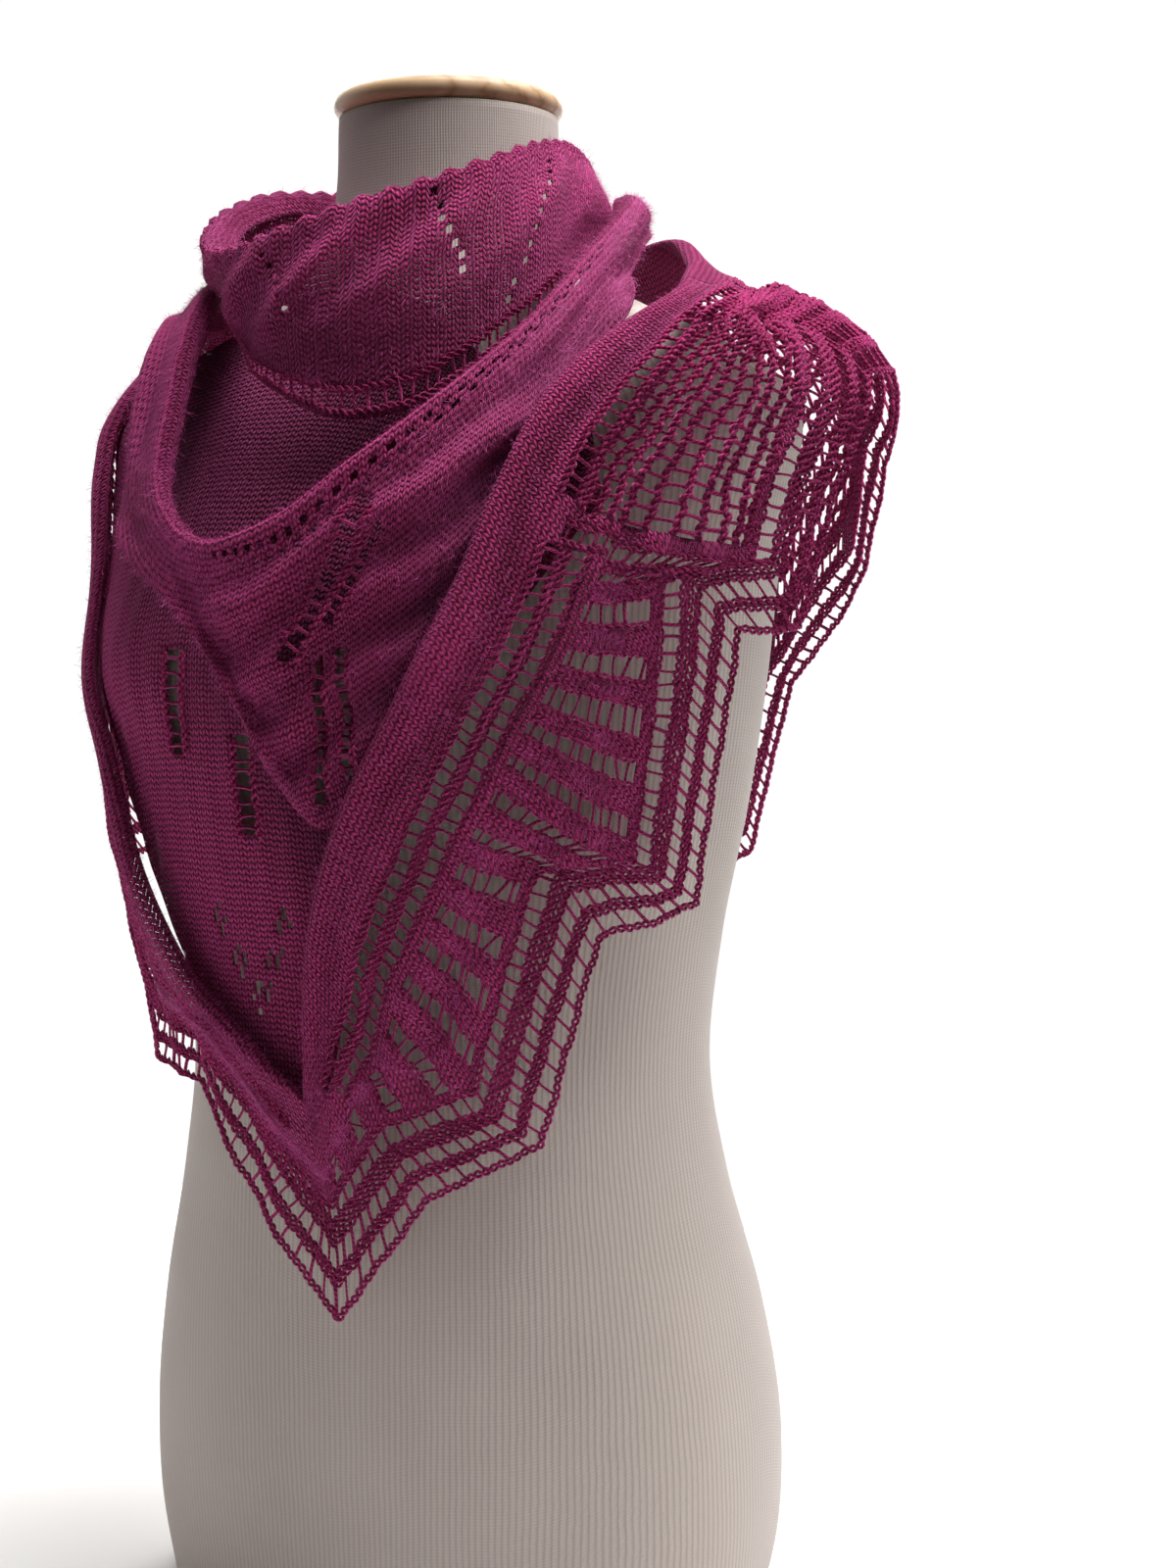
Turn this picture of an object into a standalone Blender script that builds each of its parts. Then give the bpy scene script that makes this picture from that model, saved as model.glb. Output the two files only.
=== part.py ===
"""Lace shawl on a dress form: a knitted triangle worn point forward over a padded torso.

Units are metres, Z is up, the form faces -Y and its left side is +X.
An angle of 0 degrees is the front, +90 the form's left, 180 the back.
Every cloth stretch is placed from one drape surface that lies just outside the form:
a point of it has an angle, a height and a lift, the distance it stands off that surface.
"""
import bpy
import bmesh
import numpy as np

# Driving sizes
WALL = 0.0014
SEAM = 0.0007
BODY_DRAW = 0.0008
EDGING_DRAW = 0.0005
BODY_GAP = 0.0039
FOLD_WIDTH = 0.026
CELL_FRONT = 0.0135
CELL_BACK = 0.0155
RUNG_SHARE = 0.15
BODY_STEP = 0.030
FORM_COLUMNS = 40

# Rows of the edging, measured inwards from the edge: rail, ladder, rail, ladder, rail
EDGING_FRONT = (0.0, 0.0030, 0.0100, 0.0135, 0.0215, 0.0255)
EDGING_BACK = (0.0, 0.0035, 0.0115, 0.0255)

# Form: height, half width, front depth, back depth, squareness
FORM = (
    (0.000, 0.144, 0.090, 0.140, 2.10),
    (0.030, 0.151, 0.093, 0.150, 2.10),
    (0.080, 0.153, 0.097, 0.153, 2.10),
    (0.140, 0.146, 0.099, 0.138, 2.10),
    (0.200, 0.133, 0.099, 0.113, 2.10),
    (0.250, 0.127, 0.098, 0.098, 2.10),
    (0.310, 0.133, 0.105, 0.102, 2.10),
    (0.370, 0.145, 0.119, 0.110, 2.15),
    (0.430, 0.154, 0.131, 0.114, 2.20),
    (0.480, 0.159, 0.122, 0.116, 2.30),
    (0.520, 0.168, 0.104, 0.112, 2.40),
    (0.545, 0.172, 0.090, 0.102, 2.40),
    (0.560, 0.165, 0.080, 0.092, 2.30),
    (0.575, 0.143, 0.070, 0.082, 2.20),
    (0.590, 0.110, 0.062, 0.072, 2.10),
    (0.605, 0.081, 0.057, 0.062, 2.00),
    (0.622, 0.063, 0.053, 0.055, 2.00),
    (0.645, 0.055, 0.050, 0.051, 2.00),
    (0.686, 0.0515, 0.0500, 0.0490, 2.00),
)
BUST_ANGLE = 33.0
BUST_HEIGHT = 0.430
BUST_RISE = 0.012

# Drape surface: height, reach to the left, to the right, to the front, to the back
DRAPE = (
    (0.120, 0.150, 0.148, 0.112, 0.152),
    (0.150, 0.147, 0.145, 0.114, 0.142),
    (0.200, 0.139, 0.135, 0.117, 0.124),
    (0.250, 0.138, 0.134, 0.121, 0.119),
    (0.300, 0.144, 0.144, 0.127, 0.122),
    (0.350, 0.154, 0.153, 0.136, 0.126),
    (0.400, 0.168, 0.161, 0.143, 0.129),
    (0.430, 0.178, 0.164, 0.144, 0.130),
    (0.460, 0.187, 0.165, 0.140, 0.130),
    (0.500, 0.196, 0.166, 0.125, 0.128),
    (0.530, 0.201, 0.171, 0.108, 0.124),
    (0.550, 0.201, 0.173, 0.095, 0.119),
    (0.565, 0.190, 0.166, 0.085, 0.112),
    (0.580, 0.165, 0.148, 0.076, 0.103),
    (0.590, 0.140, 0.124, 0.070, 0.095),
    (0.600, 0.114, 0.103, 0.066, 0.086),
    (0.615, 0.086, 0.081, 0.062, 0.075),
    (0.630, 0.072, 0.071, 0.059, 0.067),
    (0.650, 0.064, 0.064, 0.057, 0.061),
    (0.686, 0.058, 0.058, 0.055, 0.056),
)

# Neck cowl: angle, rim height, rim reach, foot height, foot reach
COWL = (
    (-165, 0.661, 0.065, 0.613, 0.0770),
    (-140, 0.662, 0.067, 0.614, 0.0765),
    (-120, 0.662, 0.072, 0.615, 0.0765),
    (-100, 0.662, 0.082, 0.6115, 0.0768),
    (-80, 0.658, 0.100, 0.6064, 0.0802),
    (-65, 0.645, 0.110, 0.608, 0.085),
    (-50, 0.630, 0.113, 0.602, 0.088),
    (-33, 0.618, 0.116, 0.584, 0.097),
    (-15, 0.614, 0.119, 0.562, 0.111),
    (0, 0.618, 0.122, 0.548, 0.123),
    (15, 0.627, 0.120, 0.535, 0.129),
    (30, 0.636, 0.115, 0.540, 0.127),
    (45, 0.648, 0.105, 0.562, 0.1170),
    (60, 0.659, 0.090, 0.586, 0.1065),
    (75, 0.664, 0.078, 0.607, 0.0860),
    (95, 0.664, 0.069, 0.618, 0.0765),
    (115, 0.660, 0.066, 0.620, 0.0755),
    (140, 0.656, 0.0645, 0.618, 0.0755),
    (170, 0.659, 0.0645, 0.614, 0.0765),
)

# Chest swag: crest angle, height, reach, then foot angle, height, reach
SWAG = (
    (135, 0.652, 0.085, 135, 0.636, 0.092),
    (115, 0.648, 0.088, 115, 0.630, 0.095),
    (95, 0.637, 0.094, 95, 0.618, 0.101),
    (74, 0.616, 0.106, 76, 0.594, 0.116),
    (60, 0.594, 0.120, 63, 0.566, 0.130),
    (48, 0.570, 0.135, 52, 0.530, 0.144),
    (38, 0.550, 0.146, 43, 0.490, 0.154),
    (29, 0.531, 0.154, 35, 0.450, 0.160),
    (20, 0.513, 0.158, 27, 0.405, 0.158),
    (12, 0.496, 0.161, 17, 0.366, 0.150),
    (5, 0.487, 0.163, 8, 0.386, 0.153),
    (-1, 0.483, 0.164, 1, 0.420, 0.157),
    (-6, 0.486, 0.164, -7, 0.452, 0.160),
    (-11.5, 0.498, 0.162, -20, 0.474, 0.159),
    (-16.8, 0.516, 0.156, -30, 0.492, 0.153),
    (-20.4, 0.546, 0.145, -40, 0.520, 0.144),
    (-26.4, 0.578, 0.131, -50, 0.548, 0.138),
    (-36, 0.598, 0.117, -60, 0.570, 0.133),
    (-52, 0.608, 0.110, -70, 0.586, 0.126),
    (-72, 0.615, 0.104, -82, 0.598, 0.116),
    (-92, 0.622, 0.098, -96, 0.609, 0.104),
)

# Chest layer: angle, top height, bottom height
CHEST = (
    (-72, 0.560, 0.505),
    (-60, 0.574, 0.468),
    (-48, 0.586, 0.415),
    (-38, 0.592, 0.362),
    (-28, 0.597, 0.312),
    (-18, 0.600, 0.276),
    (-8, 0.600, 0.252),
    (4, 0.600, 0.236),
    (13, 0.598, 0.262),
    (21, 0.594, 0.345),
    (32, 0.586, 0.400),
    (46, 0.560, 0.455),
    (58, 0.548, 0.500),
)
# Ladder columns of the chest layer: middle angle, first height, last height
CHEST_LADDERS = ((-9.0, 0.436, 0.392), (2.2, 0.410, 0.366))
LADDER_WIDTH = 0.0090
LADDER_PITCH = 0.0090
LADDER_GAP = 0.0058

# Wings, one row per tooth corner of the edge:
# rim angle, rim height, rim reach, roll, edge angle, edge height, edge lift, face lift
LEFT_WING = (
    (10, 0.251, 0.136, 1.0, 14.0, 0.156, 0.006, 0.008),
    (11, 0.292, 0.141, 1.0, 33.0, 0.211, 0.006, 0.009),
    (15, 0.334, 0.150, 1.0, 53.0, 0.233, 0.006, 0.010),
    (22, 0.376, 0.161, 1.0, 61.0, 0.321, 0.008, 0.011),
    (31, 0.420, 0.172, 1.0, 78.0, 0.332, 0.008, 0.012),
    (39, 0.467, 0.173, 1.0, 75.6, 0.448, 0.010, 0.013),
    (45, 0.503, 0.170, 1.0, 85.5, 0.450, 0.010, 0.012),
    (54, 0.544, 0.164, 1.0, 88.0, 0.508, 0.010, 0.010),
    (67, 0.577, 0.157, 1.0, 93.5, 0.551, 0.010, 0.008),
    (84, 0.599, 0.140, 1.0, 100.0, 0.552, 0.021, 0.008),
    (103, 0.616, 0.121, 0.9, 108.0, 0.522, 0.016, 0.008),
    (120, 0.630, 0.109, 0.7, 117.0, 0.478, 0.024, 0.012),
    (135, 0.632, 0.102, 0.4, 130.0, 0.425, 0.014, 0.012),
    (148, 0.630, 0.097, 0.1, 135.0, 0.345, 0.010, 0.012),
    (160, 0.627, 0.094, 0.0, 147.0, 0.330, 0.010, 0.012),
    (172, 0.625, 0.093, 0.0, 149.0, 0.252, 0.010, 0.012),
    (184, 0.623, 0.093, 0.0, 168.0, 0.246, 0.010, 0.012),
    (195, 0.621, 0.093, 0.0, 183.0, 0.190, 0.010, 0.012),
    (204, 0.618, 0.094, 0.0, 204.0, 0.262, 0.010, 0.012),
)
RIGHT_WING = (
    (10, 0.251, 0.136, 1.0, 14.0, 0.156, 0.006, 0.008),
    (0, 0.264, 0.136, 1.0, -3.0, 0.194, 0.005, 0.007),
    (-9, 0.279, 0.139, 1.0, -22.0, 0.251, 0.005, 0.007),
    (-20, 0.302, 0.145, 1.0, -43.0, 0.255, 0.006, 0.007),
    (-30, 0.345, 0.156, 1.0, -60.0, 0.335, 0.006, 0.006),
    (-40, 0.400, 0.163, 1.0, -78.0, 0.345, 0.006, 0.0035),
    (-50, 0.460, 0.165, 1.0, -80.0, 0.440, 0.006, 0.0032),
    (-60, 0.520, 0.167, 1.0, -93.0, 0.442, 0.006, 0.006),
    (-70, 0.570, 0.154, 0.9, -95.0, 0.497, 0.006, 0.006),
    (-84, 0.599, 0.130, 0.7, -104.5, 0.500, 0.006, 0.006),
    (-101, 0.610, 0.110, 0.3, -112.0, 0.470, 0.005, 0.005),
    (-118, 0.613, 0.098, 0.1, -121.5, 0.440, 0.004, 0.004),
    (-133, 0.615, 0.090, 0.0, -130.0, 0.390, 0.003, 0.003),
    (-146, 0.615, 0.087, 0.0, -141.0, 0.345, 0.003, 0.003),
    (-158, 0.615, 0.085, 0.0, -152.0, 0.320, 0.003, 0.003),
    (-170, 0.615, 0.084, 0.0, -158.0, 0.255, 0.003, 0.003),
    (-182, 0.615, 0.084, 0.0, -174.0, 0.250, 0.003, 0.003),
    (-193, 0.615, 0.084, 0.0, -188.0, 0.195, 0.003, 0.003),
    (-201, 0.615, 0.085, 0.0, -206.0, 0.270, 0.003, 0.003),
)
SHOULDER_STATION = 9
FACE_ROWS = 7
SWAG_CLEAR = 0.0039


def smooth(xs, ys, x):
    """Cubic through the table's points, with finite difference slopes."""
    xs = np.asarray(xs, float)
    ys = np.asarray(ys, float)
    slopes = np.gradient(ys, xs)
    x = np.clip(x, xs[0], xs[-1])
    i = np.clip(np.searchsorted(xs, x, side="right") - 1, 0, len(xs) - 2)
    h = xs[i + 1] - xs[i]
    t = (x - xs[i]) / h
    a = (2 * t**3 - 3 * t**2 + 1) * ys[i] + (t**3 - 2 * t**2 + t) * h * slopes[i]
    b = (3 * t**2 - 2 * t**3) * ys[i + 1] + (t**3 - t**2) * h * slopes[i + 1]
    return a + b


def column(table, k):
    """One named column of a table as an array."""
    return np.array([row[k] for row in table], float)


def form_radius(phi, z):
    """Reach of the form at an angle in radians and a height."""
    heights = column(FORM, 0)
    width = smooth(heights, column(FORM, 1), z)
    front = smooth(heights, column(FORM, 2), z)
    back = smooth(heights, column(FORM, 3), z)
    power = smooth(heights, column(FORM, 4), z)
    side = np.sin(phi)
    ahead = np.cos(phi)
    share = 0.5 + 0.5 * np.tanh(4 * ahead)
    depth = share * front + (1 - share) * back
    r = (np.abs(side / width) ** power + np.abs(ahead / depth) ** power) ** (-1 / power)
    for sign in (-1, 1):
        off = (phi - sign * np.radians(BUST_ANGLE) + np.pi) % (2 * np.pi) - np.pi
        rise = -((off / np.radians(20)) ** 2) - ((z - BUST_HEIGHT) / 0.045) ** 2
        r = r + BUST_RISE * np.exp(rise)
    return r


def drape_radius(phi, z):
    """Reach of the drape surface: its own table, never closer to the form than the gap."""
    heights = column(DRAPE, 0)
    side = np.sin(phi)
    ahead = np.cos(phi)
    left = smooth(heights, column(DRAPE, 1), z)
    right = smooth(heights, column(DRAPE, 2), z)
    front = smooth(heights, column(DRAPE, 3), z)
    back = smooth(heights, column(DRAPE, 4), z)
    width = np.where(side > 0, left, right)
    depth = np.where(ahead > 0, front, back)
    table = 1 / np.sqrt((side / width) ** 2 + (ahead / depth) ** 2)
    least = form_radius(phi, z) + BODY_GAP
    return 0.5 * (table + least + np.sqrt((table - least) ** 2 + 0.005**2))


def polar(phi, z, r):
    """Point at an angle, height and reach."""
    return np.stack([r * np.sin(phi), -r * np.cos(phi), z + 0 * r], axis=-1)


def on_drape(phi, z, lift):
    """Point standing off the drape surface by the lift, along the surface's normal."""
    phi, z, lift = np.broadcast_arrays(phi, z, lift)
    step = 1e-3
    along = polar(phi + step, z, drape_radius(phi + step, z)) - polar(phi - step, z, drape_radius(phi - step, z))
    up = polar(phi, z + step, drape_radius(phi, z + step)) - polar(phi, z - step, drape_radius(phi, z - step))
    normal = np.cross(along, up)
    normal /= np.linalg.norm(normal, axis=-1, keepdims=True)
    return polar(phi, z, drape_radius(phi, z)) + normal * lift[..., None]


LEVELS = np.linspace(0.100, 0.686, 294)


def arcs(phi):
    """Length along the drape surface from the neck down to every level, at each angle."""
    phi = np.atleast_1d(phi)
    reach = drape_radius(phi[:, None], LEVELS[None, :])
    steps = np.hypot(np.diff(reach, axis=1), np.diff(LEVELS)[None, :])
    below = np.cumsum(steps[:, ::-1], axis=1)[:, ::-1]
    return np.hstack([below, np.zeros((len(phi), 1))])


def arc_at(phi, z):
    """Length down the drape surface to a height, at each angle."""
    table = arcs(phi)
    return np.array([np.interp(h, LEVELS, row) for h, row in zip(z, table)])


def height_at(phi, arc):
    """Height reached after a length down the drape surface, at each angle."""
    table = arcs(phi)
    return np.array([np.interp(a, row[::-1], LEVELS[::-1]) for a, row in zip(arc, table)])


def foot_of(phi, z, r):
    """Height and lift on the drape surface of a point given by its height and reach."""
    heights = np.linspace(0.12, 0.686, 1133)
    reach = drape_radius(phi + 0 * heights, heights)
    away = np.hypot(reach - r, heights - z)
    k = int(np.argmin(away))
    return heights[k], away[k]


def sheet(name, points, holes=None, closed=False, wall=WALL):
    """Cloth: a grid moved to the points, cells named in holes taken out, then given its wall."""
    rows, cols = points.shape[:2]
    bm = bmesh.new()
    bmesh.ops.create_grid(bm, x_segments=cols - 1, y_segments=rows - 1, size=1.0)
    for vert in bm.verts:
        j = int(round((vert.co.x + 1) / 2 * (cols - 1)))
        i = int(round((vert.co.y + 1) / 2 * (rows - 1)))
        vert.co = points[i, j]
        vert.index = i * cols + j
    if holes is not None:
        cells = []
        for face in bm.faces:
            first = min(vert.index for vert in face.verts)
            if holes[first // cols, first % cols]:
                cells.append(face)
        bmesh.ops.delete(bm, geom=cells, context="FACES")
    if closed:
        bmesh.ops.remove_doubles(bm, verts=bm.verts, dist=1e-5)
    bmesh.ops.recalc_face_normals(bm, faces=bm.faces)
    obj = to_object(name, bm)
    thick = obj.modifiers.new("Cloth wall", "SOLIDIFY")
    thick.thickness = wall
    thick.offset = 0.0
    return obj


def to_object(name, bm):
    """Turn a finished mesh into a named object of the part's collection."""
    mesh = bpy.data.meshes.new(name)
    bm.to_mesh(mesh)
    bm.free()
    obj = bpy.data.objects.new(name, mesh)
    PART.objects.link(obj)
    return obj


def loft(name, rings):
    """Solid between rings of equal count, closed by a flat face at each end."""
    bm = bmesh.new()
    made = [[bm.verts.new(p) for p in ring] for ring in rings]
    count = len(made[0])
    for low, high in zip(made[:-1], made[1:]):
        for k in range(count):
            n = (k + 1) % count
            bm.faces.new((low[k], low[n], high[n], high[k]))
    bm.faces.new(made[0][::-1])
    bm.faces.new(made[-1])
    bmesh.ops.recalc_face_normals(bm, faces=bm.faces)
    return to_object(name, bm)


def edge_flat(phi, z):
    """The edge line laid out flat: length round the drape surface against length down it."""
    mid = drape_radius(phi, z)
    steps = np.diff(phi) * (mid[1:] + mid[:-1]) / 2
    return np.concatenate([[0], np.cumsum(steps)]), -arc_at(phi, z)


def inset(phi, z, depth):
    """The edge line moved inwards by a depth, mitred at every tooth corner."""
    x, y = edge_flat(phi, z)
    line = np.stack([x, y], axis=1)
    run = np.diff(line, axis=0)
    run /= np.linalg.norm(run, axis=1, keepdims=True)
    side = np.stack([-run[:, 1], run[:, 0]], axis=1)
    before = np.vstack([side[:1], side])
    after = np.vstack([side, side[-1:]])
    both = before + after
    both /= np.linalg.norm(both, axis=1, keepdims=True)
    reach = np.clip(np.sum(both * after, axis=1), 0.6, 1.0)
    moved = line + both * (depth / reach)[:, None]
    angle = phi + (moved[:, 0] - x) / drape_radius(phi, z)
    return angle, height_at(angle, -moved[:, 1])


def wing_tables():
    """Stations of both wings in one line, from the right wing's tail to the left wing's tail."""
    rows = list(RIGHT_WING[::-1]) + list(LEFT_WING[1:])
    table = np.array(rows, float)
    rim_phi = np.radians(table[:, 0])
    pairs = [foot_of(p, z, r) for p, z, r in zip(rim_phi, table[:, 1], table[:, 2])]
    rim_z = np.array([p[0] for p in pairs])
    rim_lift = np.array([p[1] for p in pairs])
    return {
        "rim_phi": rim_phi,
        "rim_z": rim_z,
        "rim_lift": rim_lift,
        "roll": table[:, 3],
        "phi": np.radians(table[:, 4]),
        "z": table[:, 5],
        "lift": table[:, 6],
        "face": table[:, 7],
    }


WING = wing_tables()
CORNER = len(RIGHT_WING) - 1


def at(values, u, smoothly=True):
    """Value at a station number that need not be whole; the smooth run breaks at the front corner."""
    k = np.arange(len(values))
    if not smoothly:
        return np.interp(u, k, values)
    right = smooth(k[: CORNER + 1], values[: CORNER + 1], u)
    left = smooth(k[CORNER:], values[CORNER:], u)
    return np.where(np.asarray(u) > CORNER, left, right)


def rim_distance(u, phi, z):
    """Distance along the cloth from the rim of the same station."""
    rim_phi = at(WING["rim_phi"], u)
    across = (phi - rim_phi) * drape_radius(phi, z)
    down = arc_at(phi, z) - arc_at(rim_phi, at(WING["rim_z"], u))
    return np.hypot(across, down)


def cloth_lift(u, phi, z, share):
    """Lift of a wing: the face level, a soft ridge by the rim, and the edge level at the end."""
    level = at(WING["face"], u) * (1 - share) + at(WING["lift"], u, False) * share
    ridge = np.exp(-((rim_distance(u, phi, z) / FOLD_WIDTH) ** 2))
    wave = 0.0012 * np.sin(26 * phi + 5 * z) * share
    return level + (at(WING["rim_lift"], u) - level) * ridge + wave


def wing_body(name, first, last):
    """Cloth of a wing between two stations, from the rolled rim down to the edging."""
    inner_phi, inner_z = inset(WING["phi"], WING["z"], EDGING_FRONT[-1] + SEAM)
    lines = [edge_flat(inner_phi, inner_z), edge_flat(WING["rim_phi"], WING["rim_z"])]
    us = [float(first)]
    for k in range(first, last):
        length = max(np.hypot(x[k + 1] - x[k], y[k + 1] - y[k]) for x, y in lines)
        parts = max(2, int(np.ceil(length / BODY_STEP)))
        us += [k + (n + 1) / parts for n in range(parts)]
    u = np.array(us)
    phi0 = at(WING["rim_phi"], u)
    z0 = at(WING["rim_z"], u)
    phi1 = at(inner_phi, u, False)
    z1 = at(inner_z, u, False)
    roll = at(WING["roll"], u)
    rows = []
    crest = at(WING["rim_lift"], u)
    arc0 = arc_at(phi0, z0)
    arc1 = arc_at(phi1, z1)
    down_phi = phi1 - phi0
    down_arc = arc1 - arc0
    open_up = np.clip(np.abs(u - CORNER) / 1.6, 0, 1)
    drop = np.minimum(0.71 * crest, 0.0100) * roll * (0.45 + 0.55 * open_up)
    side_phi, side_arc = rim_normal(phi0, arc0, u)
    for reach, share in ((0.008 - 0.016 * roll, 1.0), (0.0035, 0.45)):
        reach = np.where(reach < 0, reach * (0.2 + 0.8 * open_up), reach * open_up)
        phi = phi0 - side_phi * reach
        z = height_at(phi, arc0 - side_arc * reach)
        rows.append(on_drape(phi, z, crest - share * drop))
    for j in range(FACE_ROWS + 1):
        w = (j / FACE_ROWS) ** 1.35
        phi = phi0 + down_phi * w
        z = height_at(phi, arc0 + down_arc * w)
        rows.append(on_drape(phi, z, cloth_lift(u, phi, z, w)))
    points = part_ends(np.array(rows), BODY_DRAW, 3)
    return sheet(name, points)


def rim_normal(phi, arc, u):
    """Unit step across the rim towards the cloth, as an angle and a length down the drape surface."""
    reach = drape_radius(phi, height_at(phi, arc))
    along = np.gradient(phi, u) * reach
    down = np.gradient(arc, u)
    length = np.hypot(along, down)
    return -down / length / reach, along / length


def part_ends(points, inwards, rolled=0):
    """Draw the two end columns in at the shoulder seam, and the rolled rows by a wall more."""
    draw = np.full((len(points), 1), inwards)
    draw[:rolled] += WALL
    for end, near in ((0, 1), (-1, -2)):
        way = points[:, near] - points[:, end]
        way /= np.linalg.norm(way, axis=-1, keepdims=True)
        points[:, end] += way * draw
    return points


def edging(name, first, last, depths, ladders, cell):
    """Toothed edging between two stations, its ladder cells cut through."""
    x, y = edge_flat(WING["phi"], WING["z"])
    us = [float(first)]
    gap = []
    for k in range(first, last):
        length = np.hypot(x[k + 1] - x[k], y[k + 1] - y[k])
        count = max(1, int(round(length / cell)))
        for n in range(count):
            us += [k + (n + RUNG_SHARE) / count, k + (n + 1 - RUNG_SHARE) / count]
            gap += [False, True]
        us.append(k + 1.0)
        gap.append(False)
    u = np.array(us)
    inner_phi, inner_z = inset(WING["phi"], WING["z"], depths[-1])
    phi0 = at(inner_phi, u, False)
    z0 = at(inner_z, u, False)
    phi1 = at(WING["phi"], u, False)
    z1 = at(WING["z"], u, False)
    arc0 = arc_at(phi0, z0)
    arc1 = arc_at(phi1, z1)
    rows = []
    for depth in depths[::-1]:
        w = 1 - depth / depths[-1]
        phi = phi0 + (phi1 - phi0) * w
        z = height_at(phi, arc0 + (arc1 - arc0) * w)
        rows.append(on_drape(phi, z, cloth_lift(u, phi, z, 1.0)))
    points = part_ends(np.array(rows), EDGING_DRAW)
    holes = np.zeros((points.shape[0], points.shape[1]), bool)
    for row in ladders:
        holes[row, : len(gap)] = gap
    return sheet(name, points, holes)


def make_form():
    """Torso and neck, one ring per height, with a flat base."""
    heights = np.concatenate([np.linspace(0, 0.54, 17), np.linspace(0.556, 0.625, 6), [0.65, 0.6857]])
    angles = np.linspace(0, 2 * np.pi, FORM_COLUMNS, endpoint=False)
    rings = [polar(angles, np.full_like(angles, z), form_radius(angles, z)) for z in heights]
    return loft("dress_form", rings)


def make_cap():
    """Turned wooden cap: a disc with a rounded rim and a low dome."""
    profile = ((0.6860, 0.0490), (0.6880, 0.0525), (0.6910, 0.0535), (0.6945, 0.0525), (0.6965, 0.0480), (0.6975, 0.030))
    angles = np.linspace(0, 2 * np.pi, 32, endpoint=False)
    rings = [polar(angles, np.full_like(angles, z), np.full_like(angles, r)) for z, r in profile]
    return loft("neck_cap", rings)


def make_cowl():
    """Closed ring round the neck: an inner lip, the rim, then the face down to its foot."""
    count = 30
    a = np.linspace(-165, 195, count)
    angles = column(COWL, 0)
    wrap = np.concatenate([angles[-3:] - 360, angles, angles[:3] + 360])
    ring = []
    for k in range(1, 5):
        values = column(COWL, k)
        ring.append(smooth(wrap, np.concatenate([values[-3:], values, values[:3]]), a))
    rim_z, rim_r, foot_z, foot_r = ring
    phi = np.radians(a)
    length = np.hypot(foot_r - rim_r, foot_z - rim_z)
    down_r = (foot_r - rim_r) / length
    down_z = (foot_z - rim_z) / length
    room = rim_r - form_radius(phi, rim_z) - 0.003
    loose = np.clip(0.6 * room, 0.0035, 0.0080)
    rows = []
    for along, share in ((0.014, 1.0), (0.0035, 0.75)):
        z = rim_z + down_z * along - down_r * loose * share
        rows.append(polar(phi, z, rim_r + down_r * along + down_z * loose * share))
    rows.append(polar(phi, rim_z, rim_r))
    for t in (0.14, 0.32, 0.54, 0.77, 1.0):
        bulge = 0.006 * np.sin(np.pi * min(1.0, t * 1.2))
        rows.append(polar(phi, rim_z + (foot_z - rim_z) * t, rim_r + (foot_r - rim_r) * t + bulge))
    return sheet("neck_cowl", np.array(rows), closed=True)


def make_swag():
    """Upper fold: a rolled crest that hangs in a U, and its face down to the foot."""
    k = np.arange(len(SWAG))
    u = np.linspace(0, len(SWAG) - 1, 31)
    crest_a, crest_z, crest_r, foot_a, foot_z, foot_r = [smooth(k, column(SWAG, c), u) for c in range(6)]
    crest_a = np.radians(crest_a)
    foot_a = np.radians(foot_a)
    rows = [
        polar(crest_a, crest_z - 0.009, crest_r - 0.0070),
        polar(crest_a, crest_z + 0.001, crest_r - 0.0040),
    ]
    for t in (0.0, 0.12, 0.30, 0.52, 0.76, 1.0):
        bulge = 0.0035 * np.sin(np.pi * min(1.0, t * 1.3))
        a = crest_a + (foot_a - crest_a) * t
        z = crest_z + (foot_z - crest_z) * t
        r = crest_r + (foot_r - crest_r) * t + bulge
        rows.append(polar(a, z, np.maximum(r, drape_radius(a, z) + SWAG_CLEAR)))
    return sheet("chest_swag", np.array(rows))


def make_chest():
    """Under layer on the chest, with columns of ladder gaps cut through."""
    angles = [float(a) for a in column(CHEST, 0)]
    ladders = []
    for middle, top, low in CHEST_LADDERS:
        half = np.degrees(LADDER_WIDTH / 2 / drape_radius(np.radians(middle), 0.41))
        angles = [a for a in angles if abs(a - middle) > half + 2.0]
        angles += [middle - half, middle + half]
        ladders.append((middle - half, top, low))
    a = np.array(sorted(angles))
    top = smooth(column(CHEST, 0), column(CHEST, 1), a)
    bottom = smooth(column(CHEST, 0), column(CHEST, 2), a)
    levels = [0.600, 0.575, 0.550, 0.525, 0.500, 0.475, 0.455]
    z = 0.4400
    marks = []
    while z > 0.368:
        levels.append(z)
        marks.append(len(levels) - 1)
        levels.append(z - LADDER_GAP)
        z -= LADDER_PITCH
    levels += [0.350, 0.325, 0.300, 0.275, 0.250, 0.225]
    levels = np.array(levels)
    wide = levels[:, None] + 0 * a
    heights = np.clip(wide, bottom, top)
    heights = np.where(wide - bottom < 0.005, bottom, heights)
    heights = np.where(top - wide < 0.005, top, heights)
    phi = np.broadcast_to(np.radians(a), heights.shape)
    points = on_drape(phi, heights, np.zeros_like(heights))
    flat = np.abs(np.diff(heights, axis=0)) < 1e-6
    holes = np.zeros(heights.shape, bool)
    holes[:-1, :-1] = flat[:, :-1] & flat[:, 1:]
    for left, high, low in ladders:
        j = int(np.argmin(np.abs(a - left)))
        for i in marks:
            if low <= levels[i] <= high + 1e-6:
                holes[i, j] = True
    return sheet("chest_layer", points, holes, closed=True)


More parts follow.
